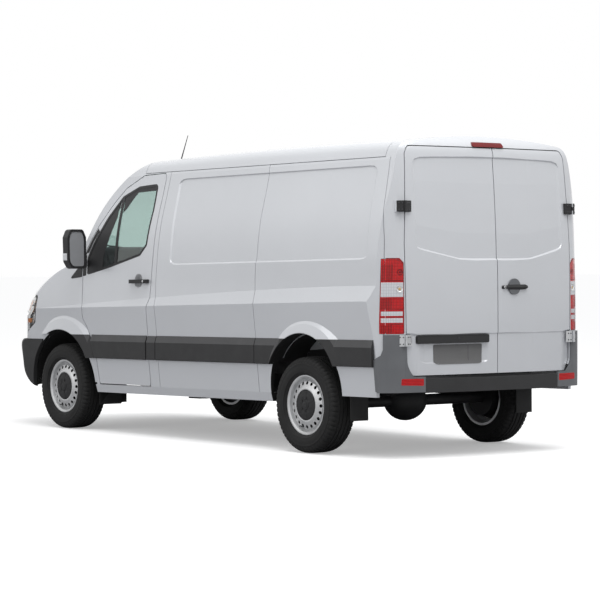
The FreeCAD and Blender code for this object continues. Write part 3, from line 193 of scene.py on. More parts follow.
# Near-black: the windscreen frit's own black, and painted shade in the wheel holes, on the brake drums and
# inside the wheel arches.
NEAR_BLACK_AND_SHADE = moulded("near_black_and_painted_shade", (0.006, 0.006, 0.006), 0.8)
LENS_WHITE = lens("lens_white", (0.74, 0.75, 0.77), (0.48, 0.49, 0.51))
LENS_DEEP = moulded("lens_deep_red", (0.15, 0.005, 0.006), 0.3, 160, 0.0008)
SILVER = metal("reflector_silver", (0.75, 0.75, 0.74), 0.15, 1)
BULB = moulded("bulb_amber", (0.55, 0.38, 0.18), 0.15, 90, 0.0003)
PLATE_GREY = moulded("plate_grey", (0.135, 0.135, 0.135), 0.55, 420, 0.0002)
FOOT_GREY = moulded("handle_foot", (0.27, 0.275, 0.285), 0.45)
# Painted highlight: a lighter black for the strips' upward faces, standing in for the sky's sheen on them.
STRIP_PAINTED_SHEEN = moulded("strip_painted_sheen", (0.055, 0.055, 0.057), 0.5)
# Painted reflection: the mirror glass is a flat mid grey in place of what it would mirror.
MIRROR_PAINTED_REFLECTION = moulded("mirror_painted_reflection", (0.25, 0.255, 0.265), 0.16, 40, 0.00001, 0.03)
SCREWS = metal("screw_heads", (0.09, 0.09, 0.095), 0.45, 0.8)

NODE_FINISHES = [
    (CHASSIS, "chassis_rails rear_axle propshaft knuckle"), (INNER, "floor_pan"), (STRIP, "rub_strips"),
    (DARK, "wheel_liners grille_panel antenna fuel_tank door_trim rear_door_trim"), (FLAP, "mud_flaps"),
    (BUMPER, "front_bumper rear_bumper"), (GLASS, "windscreen door_glass"), (LAMP_CLEAR, "headlamps"),
    (LAMP_RED, "tail_lamps"), (TRIM, "dashboard steering_wheel"), (FABRIC, "cab_seats"),
    (CAST, "engine_block"), (STEEL, "exhaust"), (TYRE, "tyre_front tyre_rear"),
    (WHEEL, "rim_front rim_rear"),
]
FINISH_OF = {stem: finish for finish, stems in NODE_FINISHES for stem in stems.split()}
for name, node in nodes.items():
    finish = FINISH_OF.get(name.removesuffix("_left").removesuffix("_right"), PAINT)
    for slot in node.material_slots:
        slot.material = finish
    if not node.material_slots:
        node.data.materials.append(finish)


# Mesh helpers, all in millimetres. A wall is the way along it, the way up and the way into the van.

PLANES = {"x": (1, 2, 0), "y": (0, 2, 1), "z": (0, 1, 2)}
UP = Vector((0, 0, 1))
LEFT_WALL = (Vector((0, 1, 0)), UP, Vector((-1, 0, 0)))
RIGHT_WALL = (Vector((0, 1, 0)), UP, Vector((1, 0, 0)))
FRONT_WALL = (Vector((1, 0, 0)), UP, Vector((0, 1, 0)))
REAR_WALL = (Vector((1, 0, 0)), UP, Vector((0, -1, 0)))
BACK_OFF = 3000


def spot(axis, u, v, depth):
    """A point from its two places in a plane and its place along the axis square to it."""
    return Vector({"x": (depth, u, v), "y": (u, depth, v), "z": (u, v, depth)}[axis])


def lattice(bm, rows, closed=False, turned=False):
    """Faces between rows of vertices: closed joins each row's ends, turned the last row to the first."""
    for index in range(0 if turned else 1, len(rows)):
        first, second = rows[index - 1], rows[index]
        for place in range(0 if closed else 1, len(first)):
            bm.faces.new((first[place - 1], first[place], second[place], second[place - 1]))


def corners_of(outline):
    """Each corner of an outline, with the one before it and the one after."""
    count = len(outline)
    return [[Vector(outline[(index + way) % count]) for way in (-1, 0, 1)] for index in range(count)]


def rounded(outline, radius, steps=4):
    """A 2D outline with its corners rounded."""
    points = []
    for before, corner, after in corners_of(outline):
        reach = min(radius, (before - corner).length * 0.45, (after - corner).length * 0.45)
        start = corner + (before - corner).normalized() * reach
        end = corner + (after - corner).normalized() * reach
        for step in range(steps + 1):
            t = step / steps
            points.append(tuple(start * (1 - t) ** 2 + corner * 2 * t * (1 - t) + end * t ** 2))
    return points


def bevel_edges(bm, edges, width, steps=2):
    bmesh.ops.bevel(bm, geom=edges, offset=width, segments=steps, profile=0.5, affect="EDGES",
                    clamp_overlap=True)


def prism(axis, outline, low, high, bevel=0, steps=2):
    """A solid plate or bar: an outline pushed along an axis, the edges of its two ends bevelled."""
    bm = bmesh.new()
    rings = [[bm.verts.new(spot(axis, u, v, depth)) for u, v in outline] for depth in (low, high)]
    bm.faces.new(rings[0])
    bm.faces.new(list(reversed(rings[1])))
    lattice(bm, rings, closed=True)
    bm.normal_update()
    if bevel:
        along = PLANES[axis][2]
        bevel_edges(bm, [edge for edge in bm.edges
                         if len({round(vert.co[along], 3) for vert in edge.verts}) == 1], bevel, steps)
    return bm


def block(x0, x1, y0, y1, z0, z1, bevel=2):
    """A bar with all its edges bevelled."""
    bm = prism("z", [(x0, y0), (x1, y0), (x1, y1), (x0, y1)], z0, z1)
    bevel_edges(bm, list(bm.edges), bevel)
    return bm


def revolve(profile, centre, axis="x", steps=48, sign=1):
    """A turned form from (along, radius) points."""
    bm = bmesh.new()
    across, up, along = PLANES[axis]
    rows = []
    for step in range(steps):
        angle = 2 * math.pi * step / steps
        row = []
        for distance, radius in profile:
            point = Vector(centre)
            point[along] += distance * sign
            point[across] += radius * math.cos(angle)
            point[up] += radius * math.sin(angle)
            row.append(bm.verts.new(point))
        rows.append(row)
    lattice(bm, rows, turned=True)
    bmesh.ops.remove_doubles(bm, verts=bm.verts, dist=0.001)
    return bm


def smooth_line(points, steps=6):
    """A smooth curve through points."""
    knots = [Vector(point) for point in points]
    knots = [knots[0] * 2 - knots[1]] + knots + [knots[-1] * 2 - knots[-2]]
    line = []
    for a, b, c, d in zip(knots, knots[1:], knots[2:], knots[3:]):
        for step in range(steps):
            t = step / steps
            line.append(0.5 * (2 * b + (c - a) * t + (2 * a - 5 * b + 4 * c - d) * t ** 2
                               + (3 * b - a - 3 * c + d) * t ** 3))
    return line + [knots[-2]]


def tube(points, radius, sides=10, closed=False):
    """A round bar along a line of points; the radius may be a list, one for each point."""
    line = [Vector(point) for point in points]
    count = len(line)
    radii = radius if isinstance(radius, list) else [radius] * count
    bm = bmesh.new()
    rows = []
    side = None
    for index in range(count):
        before = line[index - 1] if closed or index > 0 else line[0]
        after = line[(index + 1) % count] if closed or index < count - 1 else line[-1]
        along = (after - before).normalized()
        if side is None:
            guide = UP if abs(along.z) < 0.9 else Vector((1, 0, 0))
            side = along.cross(guide).normalized()
        side = (side - along * side.dot(along)).normalized()
        up = along.cross(side)
        row = []
        for step in range(sides):
            angle = 2 * math.pi * step / sides
            spoke = side * math.cos(angle) + up * math.sin(angle)
            row.append(bm.verts.new(line[index] + spoke * radii[index]))
        rows.append(row)
    if closed:
        rows.append(rows[0])
    lattice(bm, rows, closed=True)
    if not closed:
        bm.faces.new(rows[0])
        bm.faces.new(list(reversed(rows[-1])))
    return bm


def skin_tree(*names):
    """What rays can meet: the shells of the CAD nodes named."""
    bm = bmesh.new()
    for name in names:
        bm.from_mesh(nodes[name].data)
    tree = BVHTree.FromBMesh(bm)
    bm.free()
    return tree


def drop(tree, point, inward):
    """Where a ray meets a skin and which way that skin faces, in the level frame."""
    hit, normal = tree.ray_cast(RAKE @ point, (RAKE.to_3x3() @ inward).normalized())[:2]
    if hit is None:
        return None, None
    outward = (UNRAKE.to_3x3() @ normal).normalized()
    if outward.dot(inward) > 0:
        outward.negate()
    return UNRAKE @ hit, outward


def on_wall(wall, u, v):
    """The point that two measures along a wall give."""
    return wall[0] * u + wall[1] * v


def drop_on(tree, wall, u, v):
    """The skin behind a point of a wall: its place and the way it faces."""
    return drop(tree, on_wall(wall, u, v) - wall[2] * BACK_OFF, wall[2])


def thicken(bm, lower, upper):
    """Closes a sheet into a plate: every vertex has its low and its high place."""
    faces = list(bm.faces)
    rim = [edge for edge in bm.edges if edge.is_boundary]
    twins = {vert: bm.verts.new(upper[vert]) for vert in list(bm.verts)}
    for vert, place in lower.items():
        vert.co = place
    for face in faces:
        bm.faces.new([twins[vert] for vert in reversed(face.verts)])
    for edge in rim:
        a, b = edge.verts
        bm.faces.new((a, b, twins[b], twins[a]))
    return bm


def over_groove(tree, wall, point, first, last):
    """A place on the straight bridge over a groove that runs along the height."""
    across, inward = wall[0], wall[2]
    here = across.dot(point)
    (near, near_way), (far, far_way) = [
        drop(tree, point + across * (edge - here) - inward * BACK_OFF, inward) for edge in (first, last)]
    share = (here - first) / (last - first)
    return near.lerp(far, share), near_way.lerp(far_way, share).normalized()


def laid(bm, tree, wall, low, high, groove=None):
    """Lowers a flat sheet onto a skin and gives it its thickness."""
    lower = {}
    upper = {}
    for vert in bm.verts:
        place, outward = drop(tree, vert.co - wall[2] * BACK_OFF, wall[2])
        if groove:
            first, last = groove(vert.co.z)
            if first < wall[0].dot(vert.co) < last:
                place, outward = over_groove(tree, wall, vert.co, first, last)
        lower[vert] = place + outward * low
        upper[vert] = place + outward * high
    return thicken(bm, lower, upper)


def patch(tree, wall, outline, low, high, step=45):
    """A thin plate that follows a skin; its outline is drawn square to the wall it lies on."""
    bm = bmesh.new()
    bm.faces.new([bm.verts.new(on_wall(wall, u, v)) for u, v in outline])
    bm.normal_update()
    for index in (0, 1):
        places = [point[index] for point in outline]
        start = min(places)
        width = max(places) - start
        count = int(width / step)
        for cut in range(1, count + 1):
            level = start + cut * width / (count + 1)
            bmesh.ops.bisect_plane(bm, geom=bm.verts[:] + bm.edges[:] + bm.faces[:],
                                   plane_co=wall[index] * level, plane_no=wall[index])
    return laid(bm, tree, wall, low, high)


def ring_patch(tree, wall, outer, inner, low, high, step):
    """A flat ring that follows a skin, between two matching outlines."""
    bm = bmesh.new()
    rings = [[], []]
    for index in range(len(outer)):
        after = (index + 1) % len(outer)
        length = (Vector(outer[after]) - Vector(outer[index])).length
        cuts = max(1, int(length / step))
        for cut in range(cuts):
            for ring, line in zip(rings, (outer, inner)):
                u, v = Vector(line[index]).lerp(Vector(line[after]), cut / cuts)
                ring.append(bm.verts.new(on_wall(wall, u, v)))
    lattice(bm, rings, closed=True)
    return laid(bm, tree, wall, low, high)


def line_on(tree, wall, points, raised, step):
    """A drawn line dropped onto a skin, a little above it."""
    line = []
    for start, end in zip(points, points[1:]):
        cuts = max(1, int((Vector(end) - Vector(start)).length / step))
        line += [Vector(start).lerp(Vector(end), cut / cuts) for cut in range(cuts)]
    line.append(Vector(points[-1]))
    found = [drop_on(tree, wall, u, v) for u, v in line]
    return [place + outward * raised for place, outward in found if place is not None]


def scaled(outline, amount):
    """An outline moved out by an amount, or in where it is negative."""
    area = sum(last.x * here.y - here.x * last.y for last, here, following in corners_of(outline))
    turn = 1 if area > 0 else -1
    moved = []
    for last, here, following in corners_of(outline):
        before = (here - last).normalized()
        after = (following - here).normalized()
        first = Vector((before.y, -before.x)) * turn
        second = Vector((after.y, -after.x)) * turn
        middle = (first + second).normalized()
        moved.append(tuple(here + middle * (amount / max(middle.dot(first), 0.4))))
    return moved


def turned_over(bm):
    """The same form on the other side of the van."""
    bmesh.ops.scale(bm, vec=(-1, 1, 1), verts=bm.verts)
    bmesh.ops.reverse_faces(bm, faces=bm.faces)
    return bm


def both_sides(parts):
    """Parts for the left, and after them the same for the right."""
    return parts + [(turned_over(bm.copy()), finish) for bm, finish in parts]


def new_object(name, data):
    made = bpy.data.objects.new(name, data)
    bpy.context.scene.collection.objects.link(made)
    return made


def add_piece(name, body, parts, placement=RAKE, sharp=38):
    """One object from parts, each a mesh with its material, riding on a body."""
    whole = bmesh.new()
    finishes = []
    for bm, finish in parts:
        if finish not in finishes:
            finishes.append(finish)
        for face in bm.faces:
            face.material_index = finishes.index(finish)
        bmesh.ops.recalc_face_normals(bm, faces=bm.faces)
        carrier = bpy.data.meshes.new("carrier")
        bm.to_mesh(carrier)
        bm.free()
        whole.from_mesh(carrier)
        bpy.data.meshes.remove(carrier)
    mesh = bpy.data.meshes.new(name)
    whole.to_mesh(mesh)
    whole.free()
    mesh.transform(placement)
    mesh.shade_smooth()
    mesh.set_sharp_from_angle(angle=math.radians(sharp))
    for finish in finishes:
        mesh.materials.append(finish)
    piece = new_object(name, mesh)
    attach(piece, body)
    return piece


def repaint_facing(name, finish, chosen):
    """Another finish on the CAD faces whose middle, in level millimetres, and facing pass a test."""
    mesh = nodes[name].data
    mesh.materials.append(finish)
    turn = UNRAKE.to_3x3()
    for polygon in mesh.polygons:
        if chosen(UNRAKE @ polygon.center, (turn @ polygon.normal).normalized()):
            polygon.material_index = len(mesh.materials) - 1


def repaint(name, finish, chosen):
    """The same, with a test on the middle alone."""
    repaint_facing(name, finish, lambda place, facing: chosen(place))


# Tyres: ribs and grooves over the width, sipes on the shoulders, fine rings on the sidewalls

AXLE_Z = 352
PITCHES = 60
STEPS_PER_PITCH = 4
SIPE_DEPTH = 8
RIB_HALF = [(0, 352), (14, 352), (15.5, 344), (21.5, 344), (23, 351.8), (46, 351.5), (47.5, 343.6),
            (53.5, 343.6), (55, 351)]
SHOULDER = [(63, 350.4), (78, 348.8), (90, 345.4), (98, 340), (104, 332), (108, 322), (110.4, 313)]
SIDEWALL = [(110.6, 309), (112, 304), (114.4, 302), (114.8, 297), (113.6, 294), (115.6, 282),
            (116.4, 268), (115, 254), (112, 243), (112.2, 240), (110.6, 238.6), (108.4, 238), (103, 231),
            (93, 223), (86, 218), (81, 211), (78.4, 206.8)]
AXLES = [("front", 855, -1618), ("rear", 858, 1632)]
SIDES = [("left", 1), ("right", -1)]
CAP_SPOKES = 6
CAP_SPOKE = [(42, -7), (100, -16), (104, 0), (100, 16), (42, 7)]
CAP_BOSS = [(95, 0), (100, 0), (101.5, 6), (101.5, 20), (100, 26), (95, 26)]
WHEEL_HOLES = 20
HOLE_RING = 160
# Profile of the near-black disc behind each wheel hole, painted shade.
HOLE_SHADE_DISC = [(58, 0), (58, 12.2), (60, 12.2), (60, 0)]
DRUM = [(30, 64), (30, 150), (28, 166), (22, 168), (10, 168), (10, 64), (30, 64)]
VALVE_ANGLE = math.radians(-118)
VALVE_LINE = [(52, 186), (60, 183), (70, 180), (82, 179)]
VALVE_RADII = [5, 4.5, 4, 3.2]


def on_wheel(x, y, reach, angle):
    """A point at an angle round an axle that crosses the van at y."""
    return x, y + reach * math.cos(angle), AXLE_Z + reach * math.sin(angle)


def tyre_mesh(x, y):
    bm = bmesh.new()
    steps = PITCHES * STEPS_PER_PITCH
    half = [(*point, 0) for point in RIB_HALF] + [(*point, 1) for point in SHOULDER]
    half += [(*point, 0) for point in SIDEWALL]
    profile = [(-place, radius, cut, -1) for place, radius, cut in reversed(half[1:])]
    profile += [(place, radius, cut, 1) for place, radius, cut in half]
    rows = []
    for step in range(steps):
        row = []
        for place, radius, cut, side in profile:
            phase = (step + (2 if side < 0 else 0)) % STEPS_PER_PITCH
            reach = radius - (SIPE_DEPTH if cut and phase == 0 else 0)
            slant = 0.35 * (abs(place) - 60) / 50 if cut else 0
            wander = 1.3 if 10 < abs(place) < 56 and (step // 2) % 2 else 0
            angle = 2 * math.pi * (step + slant * side) / steps
            row.append(bm.verts.new(on_wheel(x + place + wander * side, y, reach, angle)))
        rows.append(row)
    lattice(bm, rows, turned=True)
    return bm


def add_wheel(name, sign, x, y, body):
    tyre = add_piece("tread_" + name, body, [(tyre_mesh(x, y), TYRE)], VAN, 50)
    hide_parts("tyre_" + name)
    mesh = nodes["rim_" + name].data
    mesh.materials.append(CAP)
    mesh.materials.append(NEAR_BLACK_AND_SHADE)
    for polygon in mesh.polygons:
        place = polygon.center / MM
        out = (place.x - x) * sign
        reach = math.hypot(place.y - y, place.z - AXLE_Z)
        if out > 82 and reach < 112.6:
            polygon.material_index = len(mesh.materials) - 2
        # Painted shade: the walls of the wheel's holes are near-black.
        if 38 < out < 80 and 140 < reach < 175 and abs(polygon.normal.x) < 0.25:
            polygon.material_index = len(mesh.materials) - 1
    centre = (x, y, AXLE_Z)
    ribs = []
    for spoke in range(CAP_SPOKES):
        turn = Matrix.Rotation(math.radians((spoke + 0.5) * 360 / CAP_SPOKES), 3, "X")
        rib = prism("x", CAP_SPOKE, 92, 96.5, 2)
        bmesh.ops.rotate(rib, cent=(0, 0, 0), matrix=turn, verts=rib.verts)
        for vert in rib.verts:
            vert.co.x += (66 - math.hypot(vert.co.y, vert.co.z)) * 0.08
        if sign < 0:
            turned_over(rib)
        bmesh.ops.translate(rib, vec=centre, verts=rib.verts)
        ribs.append((rib, CAP))
    ribs.append((revolve(CAP_BOSS, centre, "x", 32, sign), CAP))
    add_piece("hub_cap_" + name, body, ribs, VAN)
    # Painted shade: a near-black drum behind the wheel, and a near-black disc behind each hole so that the
    # holes read dark.
    drum_and_hole_shade = [(revolve(DRUM, centre, "x", 48, sign), NEAR_BLACK_AND_SHADE)]
    for hole in range(WHEEL_HOLES):
        behind = on_wheel(x, y, HOLE_RING, math.radians(hole * 360 / WHEEL_HOLES))
        drum_and_hole_shade.append((revolve(HOLE_SHADE_DISC, behind, "x", 16, sign), NEAR_BLACK_AND_SHADE))
    add_piece("brake_drum_and_hole_shade_" + name, body, drum_and_hole_shade, VAN)
    stem = tube([on_wheel(x + sign * out, y, reach, VALVE_ANGLE) for out, reach in VALVE_LINE], VALVE_RADII)
    add_piece("valve_" + name, body, [(stem, DARK)], VAN)


# Tail: lamps, hinges, plate place, handle and bumper

LAMP_WALL = (Vector((0.866, -0.5, 0)), UP, Vector((-0.5, -0.866, 0)))
NOSE_WALL = (Vector((0.8, 0.6, 0)), UP, Vector((-0.6, 0.8, 0)))
LAMP_MARGIN = 3.5
LAMP_TOP = 1343
LENS_FRONT = -419
LENS_FOOT = 853
LENS_TOP = 1376
EDGES_FOUND = {}
CLEAR_BAND = (1110, 1212)
THIN_BANDS = [(978, 1008), (930, 962)]
DARK_LINES = [(1222, 1226), (1100, 1104), (1020, 1023), (968, 971), (916, 919)]
RED_FIELDS = [(1230, 1338), (1026, 1096), (858, 912)]


def edges_at(tree, wall, z, first, step, count, test):
    """The first and last measure along a wall, at a height, where the skin behind it passes a test."""
    found = []
    for index in range(count):
        u = first + index * step
        place, outward = drop_on(tree, wall, u, z)
        if place is not None and test(place, outward):
            found.append(u)
    return min(found), max(found)


def lamp_span(tree, z):
    """The tail lamp's two edges at a height, along the line square to the corner."""
    return edges_at(tree, LAMP_WALL, z, -700, 2.5, 180,
                    lambda place, facing: place.x > 700 and place.y > 2500)


def nose_span(tree, z):
    """The headlamp's two edges at a height, along the line square to the nose's corner."""
    return edges_at(tree, NOSE_WALL, z, -1150, 4, 240,
                    lambda place, facing: place.x > 555 and facing.dot(NOSE_WALL[2]) < -0.25)


def lamp_edges(z):
    """The CAD lamp's two edges at a height, found once for each height."""
    level = round(min(z, LAMP_TOP), 1)
    if level not in EDGES_FOUND:
        EDGES_FOUND[level] = lamp_span(skin_tree("tail_lamps"), level)
    return EDGES_FOUND[level]


def panel_seam(z):
    """The strip across which the lens bridges the seam between tail frame and side panel."""
    end = lamp_edges(z)[1]
    share = min(max((z - 1150) / 120, 0), 1)
    return -455 + (end + 460) * share, -431 + (end + 465) * share


def lens_span(tree, z):
    """The lens's two edges at a height: the lamp's own by the door, the other further round the corner."""
    return lamp_edges(z)[0], LENS_FRONT - 13 * max(0, z - 950) / 390


def lamp_band(tree, low, high, raised, margin, shares, under, span, wall, groove=None):
    """A strip of lens that follows the lamp between two heights and two shares of its width."""
    rows = []
    bm = bmesh.new()
    levels = max(2, int((high - low) / 30) + 1)
    for index in range(levels + 1):
        level = low + (high - low) * index / levels
        start, end = span(tree, level)
        width = end - start - 2 * margin
        row = []
        for step in range(13):
            u = start + margin + width * (shares[0] + (shares[1] - shares[0]) * step / 12)
            row.append(bm.verts.new(on_wall(wall, u, level)))
        rows.append(row)
    lattice(bm, rows)
    return laid(bm, tree, wall, under, raised, groove)


def lamp_bulb(tree, share, z, radius, depth, under=0, span=lamp_span, wall=LAMP_WALL):
    """A round reflector with a domed bulb, set on the lens."""
    start, end = span(tree, z)
    place, outward = drop_on(tree, wall, start + share * (end - start), z)
    place = place + outward * under
    turn = Vector((1, 0, 0)).rotation_difference(outward).to_matrix().to_4x4()
    ring = revolve([(0, radius * 0.55), (depth * 0.5, radius * 0.62), (depth, radius * 0.86),
                    (depth, radius), (0, radius)], (0, 0, 0), "x", 28)
    dome = revolve([(0.2, radius * 0.56), (depth * 0.7, radius * 0.4), (depth * 0.95, radius * 0.18),
                    (depth, 0)], (0, 0, 0), "x", 24)
    for bm in (ring, dome):
        bmesh.ops.transform(bm, matrix=Matrix.Translation(place) @ turn, verts=bm.verts)
    return ring, dome


def lens_cover(tree):
    """The red lens over the whole lamp, its top falling towards the door, with the dark seal round it."""
    columns, levels = 16, 24
    bm = bmesh.new()
    rows = []
    for level in range(levels + 1):
        row = []
        for column in range(columns + 1):
            share = column / columns
            top = LENS_TOP - 33 * (1 - min(share / 0.35, 1))
            z = LENS_FOOT + (top - LENS_FOOT) * level / levels
            start, end = lens_span(tree, z)
            row.append(bm.verts.new(on_wall(LAMP_WALL, start + 1 + (end - start - 1) * share, z)))
        rows.append(row)
    lattice(bm, rows)
    rim = rows[0] + [row[-1] for row in rows[1:]] + rows[-1][-2::-1] + [row[0] for row in rows[-2:0:-1]]
    laid(bm, tree, LAMP_WALL, -0.4, 2, panel_seam)
    seal = tube([vert.co.copy() for vert in rim], 2.6, 6, True)
    return [(bm, LAMP_RED), (seal, DARK)]


def lamp_parts(tree):
    def band(low, high, raised, margin=LAMP_MARGIN, shares=(0, 1)):
        return lamp_band(tree, low, high, raised, margin, shares, -0.4, lens_span, LAMP_WALL, panel_seam)

    parts = lens_cover(tree)
    parts.append((band(*CLEAR_BAND, 2.8), LENS_WHITE))
    parts += [(band(low, high, 2.8, 9), LENS_WHITE) for low, high in THIN_BANDS]
    parts += zip(lamp_bulb(tree, 0.24, 1166, 25, 4.4), (SILVER, BULB))
    parts += zip(lamp_bulb(tree, 0.22, 1284, 21, 3.2), (LENS_DEEP, LENS_DEEP))
    parts += [(band(low, high, 2.5), LENS_DEEP) for low, high in DARK_LINES]
    for low, high in RED_FIELDS:
        parts.append((band(low, high, 2.4, 0, (0.50, 0.53)), LENS_DEEP))
        # The part beyond the fold is the darker red, painted shade.
        parts.append((band(low, high, 2.3, 0, (0.56, 0.97)), LAMP_RED_PAINTED_SHADE))
    return parts


SCREW_HEAD = [(0, 5), (2.2, 5), (3.4, 3.6), (3.4, 2), (2, 1.7), (2, 0)]
HINGE_HEIGHTS = [(1706, 1785), (763, 843)]
BODY_LEAF = (832, 850)
DOOR_LEAF = (790, 770)
PLATE = rounded([(106, 770), (552, 770), (548, 640), (520, 630), (140, 630), (110, 640)], 12)
LOCK_Z = 1172
CYLINDER = [(0, 11), (2.4, 11), (4, 9), (4, 6), (2.6, 5.4), (2.6, 0)]
GRIP = [(-322, 2624), (-312, 2631), (-280, 2634.6), (-120, 2634.6), (-92, 2632), (-82, 2625)]


def hinge_screws(sign, columns):
    """Screw heads on one leaf of each hinge of a rear door."""
    tree = skin_tree("tail_frame", "rear_door_trim_left", "rear_door_trim_right", "rear_bumper")
    screws = []
    for low, high in HINGE_HEIGHTS:
        for x in columns:
            for z in (low + 16, high - 16):
                place = drop_on(tree, REAR_WALL, sign * x, z)[0]
                if place is not None:
                    screws.append((revolve(SCREW_HEAD, (sign * x, place.y - 0.4, z), "y", 14), SCREWS))
    return screws


def add_tail():
    lamp = skin_tree("tail_lamps", "tail_frame", "quarter_panel_left")
    add_piece("lamp_lenses", "chassis", both_sides(lamp_parts(lamp)))
    doors = skin_tree("rear_door_left", "rear_door_right")
    trim = skin_tree("rear_door_trim_left")
    plate = patch(doors, REAR_WALL, PLATE, 0.4, 3.4, 60)
    split = patch(doors, REAR_WALL, [(236, 764), (238, 764), (238, 640), (236, 640)], 3.2, 4, 60)
    button_y = drop_on(trim, REAR_WALL, 342, 812)[0].y - 0.5
    button = revolve([(0, 7), (2.4, 6.4), (3, 0)], (342, button_y, 812), "y", 20)
    lip = patch(trim, REAR_WALL, rounded([(64, 830), (706, 830), (706, 834), (64, 834)], 1.8), -1, 1.6)
    parts = [(plate, PLATE_GREY), (split, STRIP), (button, TRIM), (lip, STRIP)]
    for x in (180, 420):
        face = drop_on(trim, REAR_WALL, x + 46, 800)[0].y
        base = drop(trim, Vector((x + 46, face - 8, 700)), UP)[0].z
        parts.append((block(x, x + 92, face - 14, face - 3, base - 2.5, base + 0.5, 0.8), LENS_WHITE))
    add_piece("plate_trim", "rear_door_l", parts + hinge_screws(1, DOOR_LEAF))
    grip_line = smooth_line([(x, y, LOCK_Z) for x, y in GRIP])
    last = len(grip_line) - 1
    radii = [10 + 3.6 * math.sin(math.pi * step / last) ** 0.4 for step in range(last + 1)]
    lock = [(tube(grip_line, radii, 16), DARK), (revolve(CYLINDER, (-99, 2643.2, LOCK_Z), "y", 28), BRIGHT),
            (block(-100.5, -97.5, 2644.6, 2646.6, LOCK_Z - 5, LOCK_Z + 5, 0.4), DARK)]
    add_piece("rear_lock", "rear_door_r", lock + hinge_screws(-1, DOOR_LEAF))
    add_piece("hinge_screws", "chassis", hinge_screws(1, BODY_LEAF) + hinge_screws(-1, BODY_LEAF))
    repaint("rear_bumper", GREY, lambda place: abs(place.x) > 639.7)
    for finish, low, high in ((DARK, 1700, 1790), (BRIGHT, 758, 847)):
        repaint("tail_frame", finish, lambda place: low < place.z < high and 806 < abs(place.x) < 868
                and place.y > 2574)
    for name in ("rear_door_trim_left", "rear_door_trim_right"):
        repaint(name, BRIGHT, lambda place: 760 < place.z < 846 and abs(place.x) > 742)
    repaint("rear_door_trim_right", GREY, lambda place: math.hypot(place.x + 197, place.z - 1176) < 59
            and abs(place.z - LOCK_Z) > 19)
    repaint("tail_lamps", LENS_DEEP, lambda place: place.z > 2100)


# Door mirrors, handles, corner plates and window frames

GLASS_FACE = [(1030, 1365), (1140, 1365), (1167, 1408), (1171, 1590), (1149, 1645), (1050, 1645),
              (1030, 1594)]
BLINKER = [(1163, 1372), (1186, 1412), (1188, 1470), (1176, 1486), (1166, 1470), (1164, 1420)]
KEY = [(0, 9), (3, 9), (4, 7), (4, 3), (3, 2.6), (3, 0)]
SAIL_TIP = rounded([(-1302, 1279), (-1302, 1396), (-1332, 1376), (-1452, 1284), (-1460, 1272),
                    (-1448, 1266)], 5)
HANDLE_PLATE = rounded([(-524, 1196), (-438, 1196), (-428, 1237), (-438, 1280), (-460, 1296), (-502, 1296),
                        (-524, 1280), (-534, 1237)], 16)
DOOR_CORNER = [(-1277, 1436), (-1277, 1450), (-1186, 1570), (-1106, 1672), (-1080, 1648), (-1154, 1564),
               (-1214, 1476), (-1237, 1474)]
FRONT_FRAME = rounded([(-1222, 1330), (-1204, 1313), (-1180, 1313), (-1010, 1343), (-1004, 1440),
                       (-930, 1600), (-856, 1752), (-850, 1884), (-979, 1758), (-1143, 1554),
                       (-1224, 1436)], 8)
TOP_FRAME = rounded([(-786, 1790), (-740, 1823), (-690, 1880), (-614, 1948), (-366, 1955), (-362, 1975),
                     (-390, 1998), (-608, 1989), (-786, 1926)], 8)


def ring_rim(outer, inner, low, high):
    """A frame between two matching outlines, drawn square to the van's length."""
    bm = bmesh.new()
    rows = []
    for outline, depth in ((outer, low), (outer, high - 1.5), (scaled(outer, -1.5), high), (inner, high),
                           (inner, low)):
        rows.append([bm.verts.new((u, depth, v)) for u, v in outline])
    lattice(bm, rows + rows[:1], closed=True)
    return bm


def add_door_details(side, wall):
    face = rounded(GLASS_FACE, 22)
    # The mirror's face carries the painted-reflection grey.
    parts = [(prism("y", face, -1171.5, -1168.5, 0.8), MIRROR_PAINTED_REFLECTION),
             (ring_rim(rounded(scaled(GLASS_FACE, 5), 24), face, -1170, -1163.5), DARK),
             (prism("y", rounded(BLINKER, 8), -1240, -1180, 6, 3), LENS_WHITE),
             (prism("y", rounded(scaled(BLINKER, -7), 5), -1222, -1178.6, 1), LAMP_AMBER),
             (revolve(KEY, (1008.5, -360, 1237), "x", 24), BRIGHT)]
    if wall is RIGHT_WALL:
        parts = [(turned_over(bm), finish) for bm, finish in parts]
    door = skin_tree("front_door_" + side)
    pane = skin_tree("door_glass_" + side)
    for tree, outline, high, step, finish in (
            (door, HANDLE_PLATE, 1.4, 24, FOOT_GREY), (door, DOOR_CORNER, 1.5, 20, DARK),
            (pane, FRONT_FRAME, 1.2, 40, DARK), (pane, TOP_FRAME, 1.2, 40, DARK)):
        parts.append((patch(tree, wall, outline, 0.3, high, step), finish))
    add_piece("door_details_" + side, "front_door_" + side[0], parts)
    tip = patch(skin_tree("front_fenders"), wall, SAIL_TIP, 0.3, 4, 30)
    add_piece("sail_tip_" + side, "chassis", [(tip, DARK)])


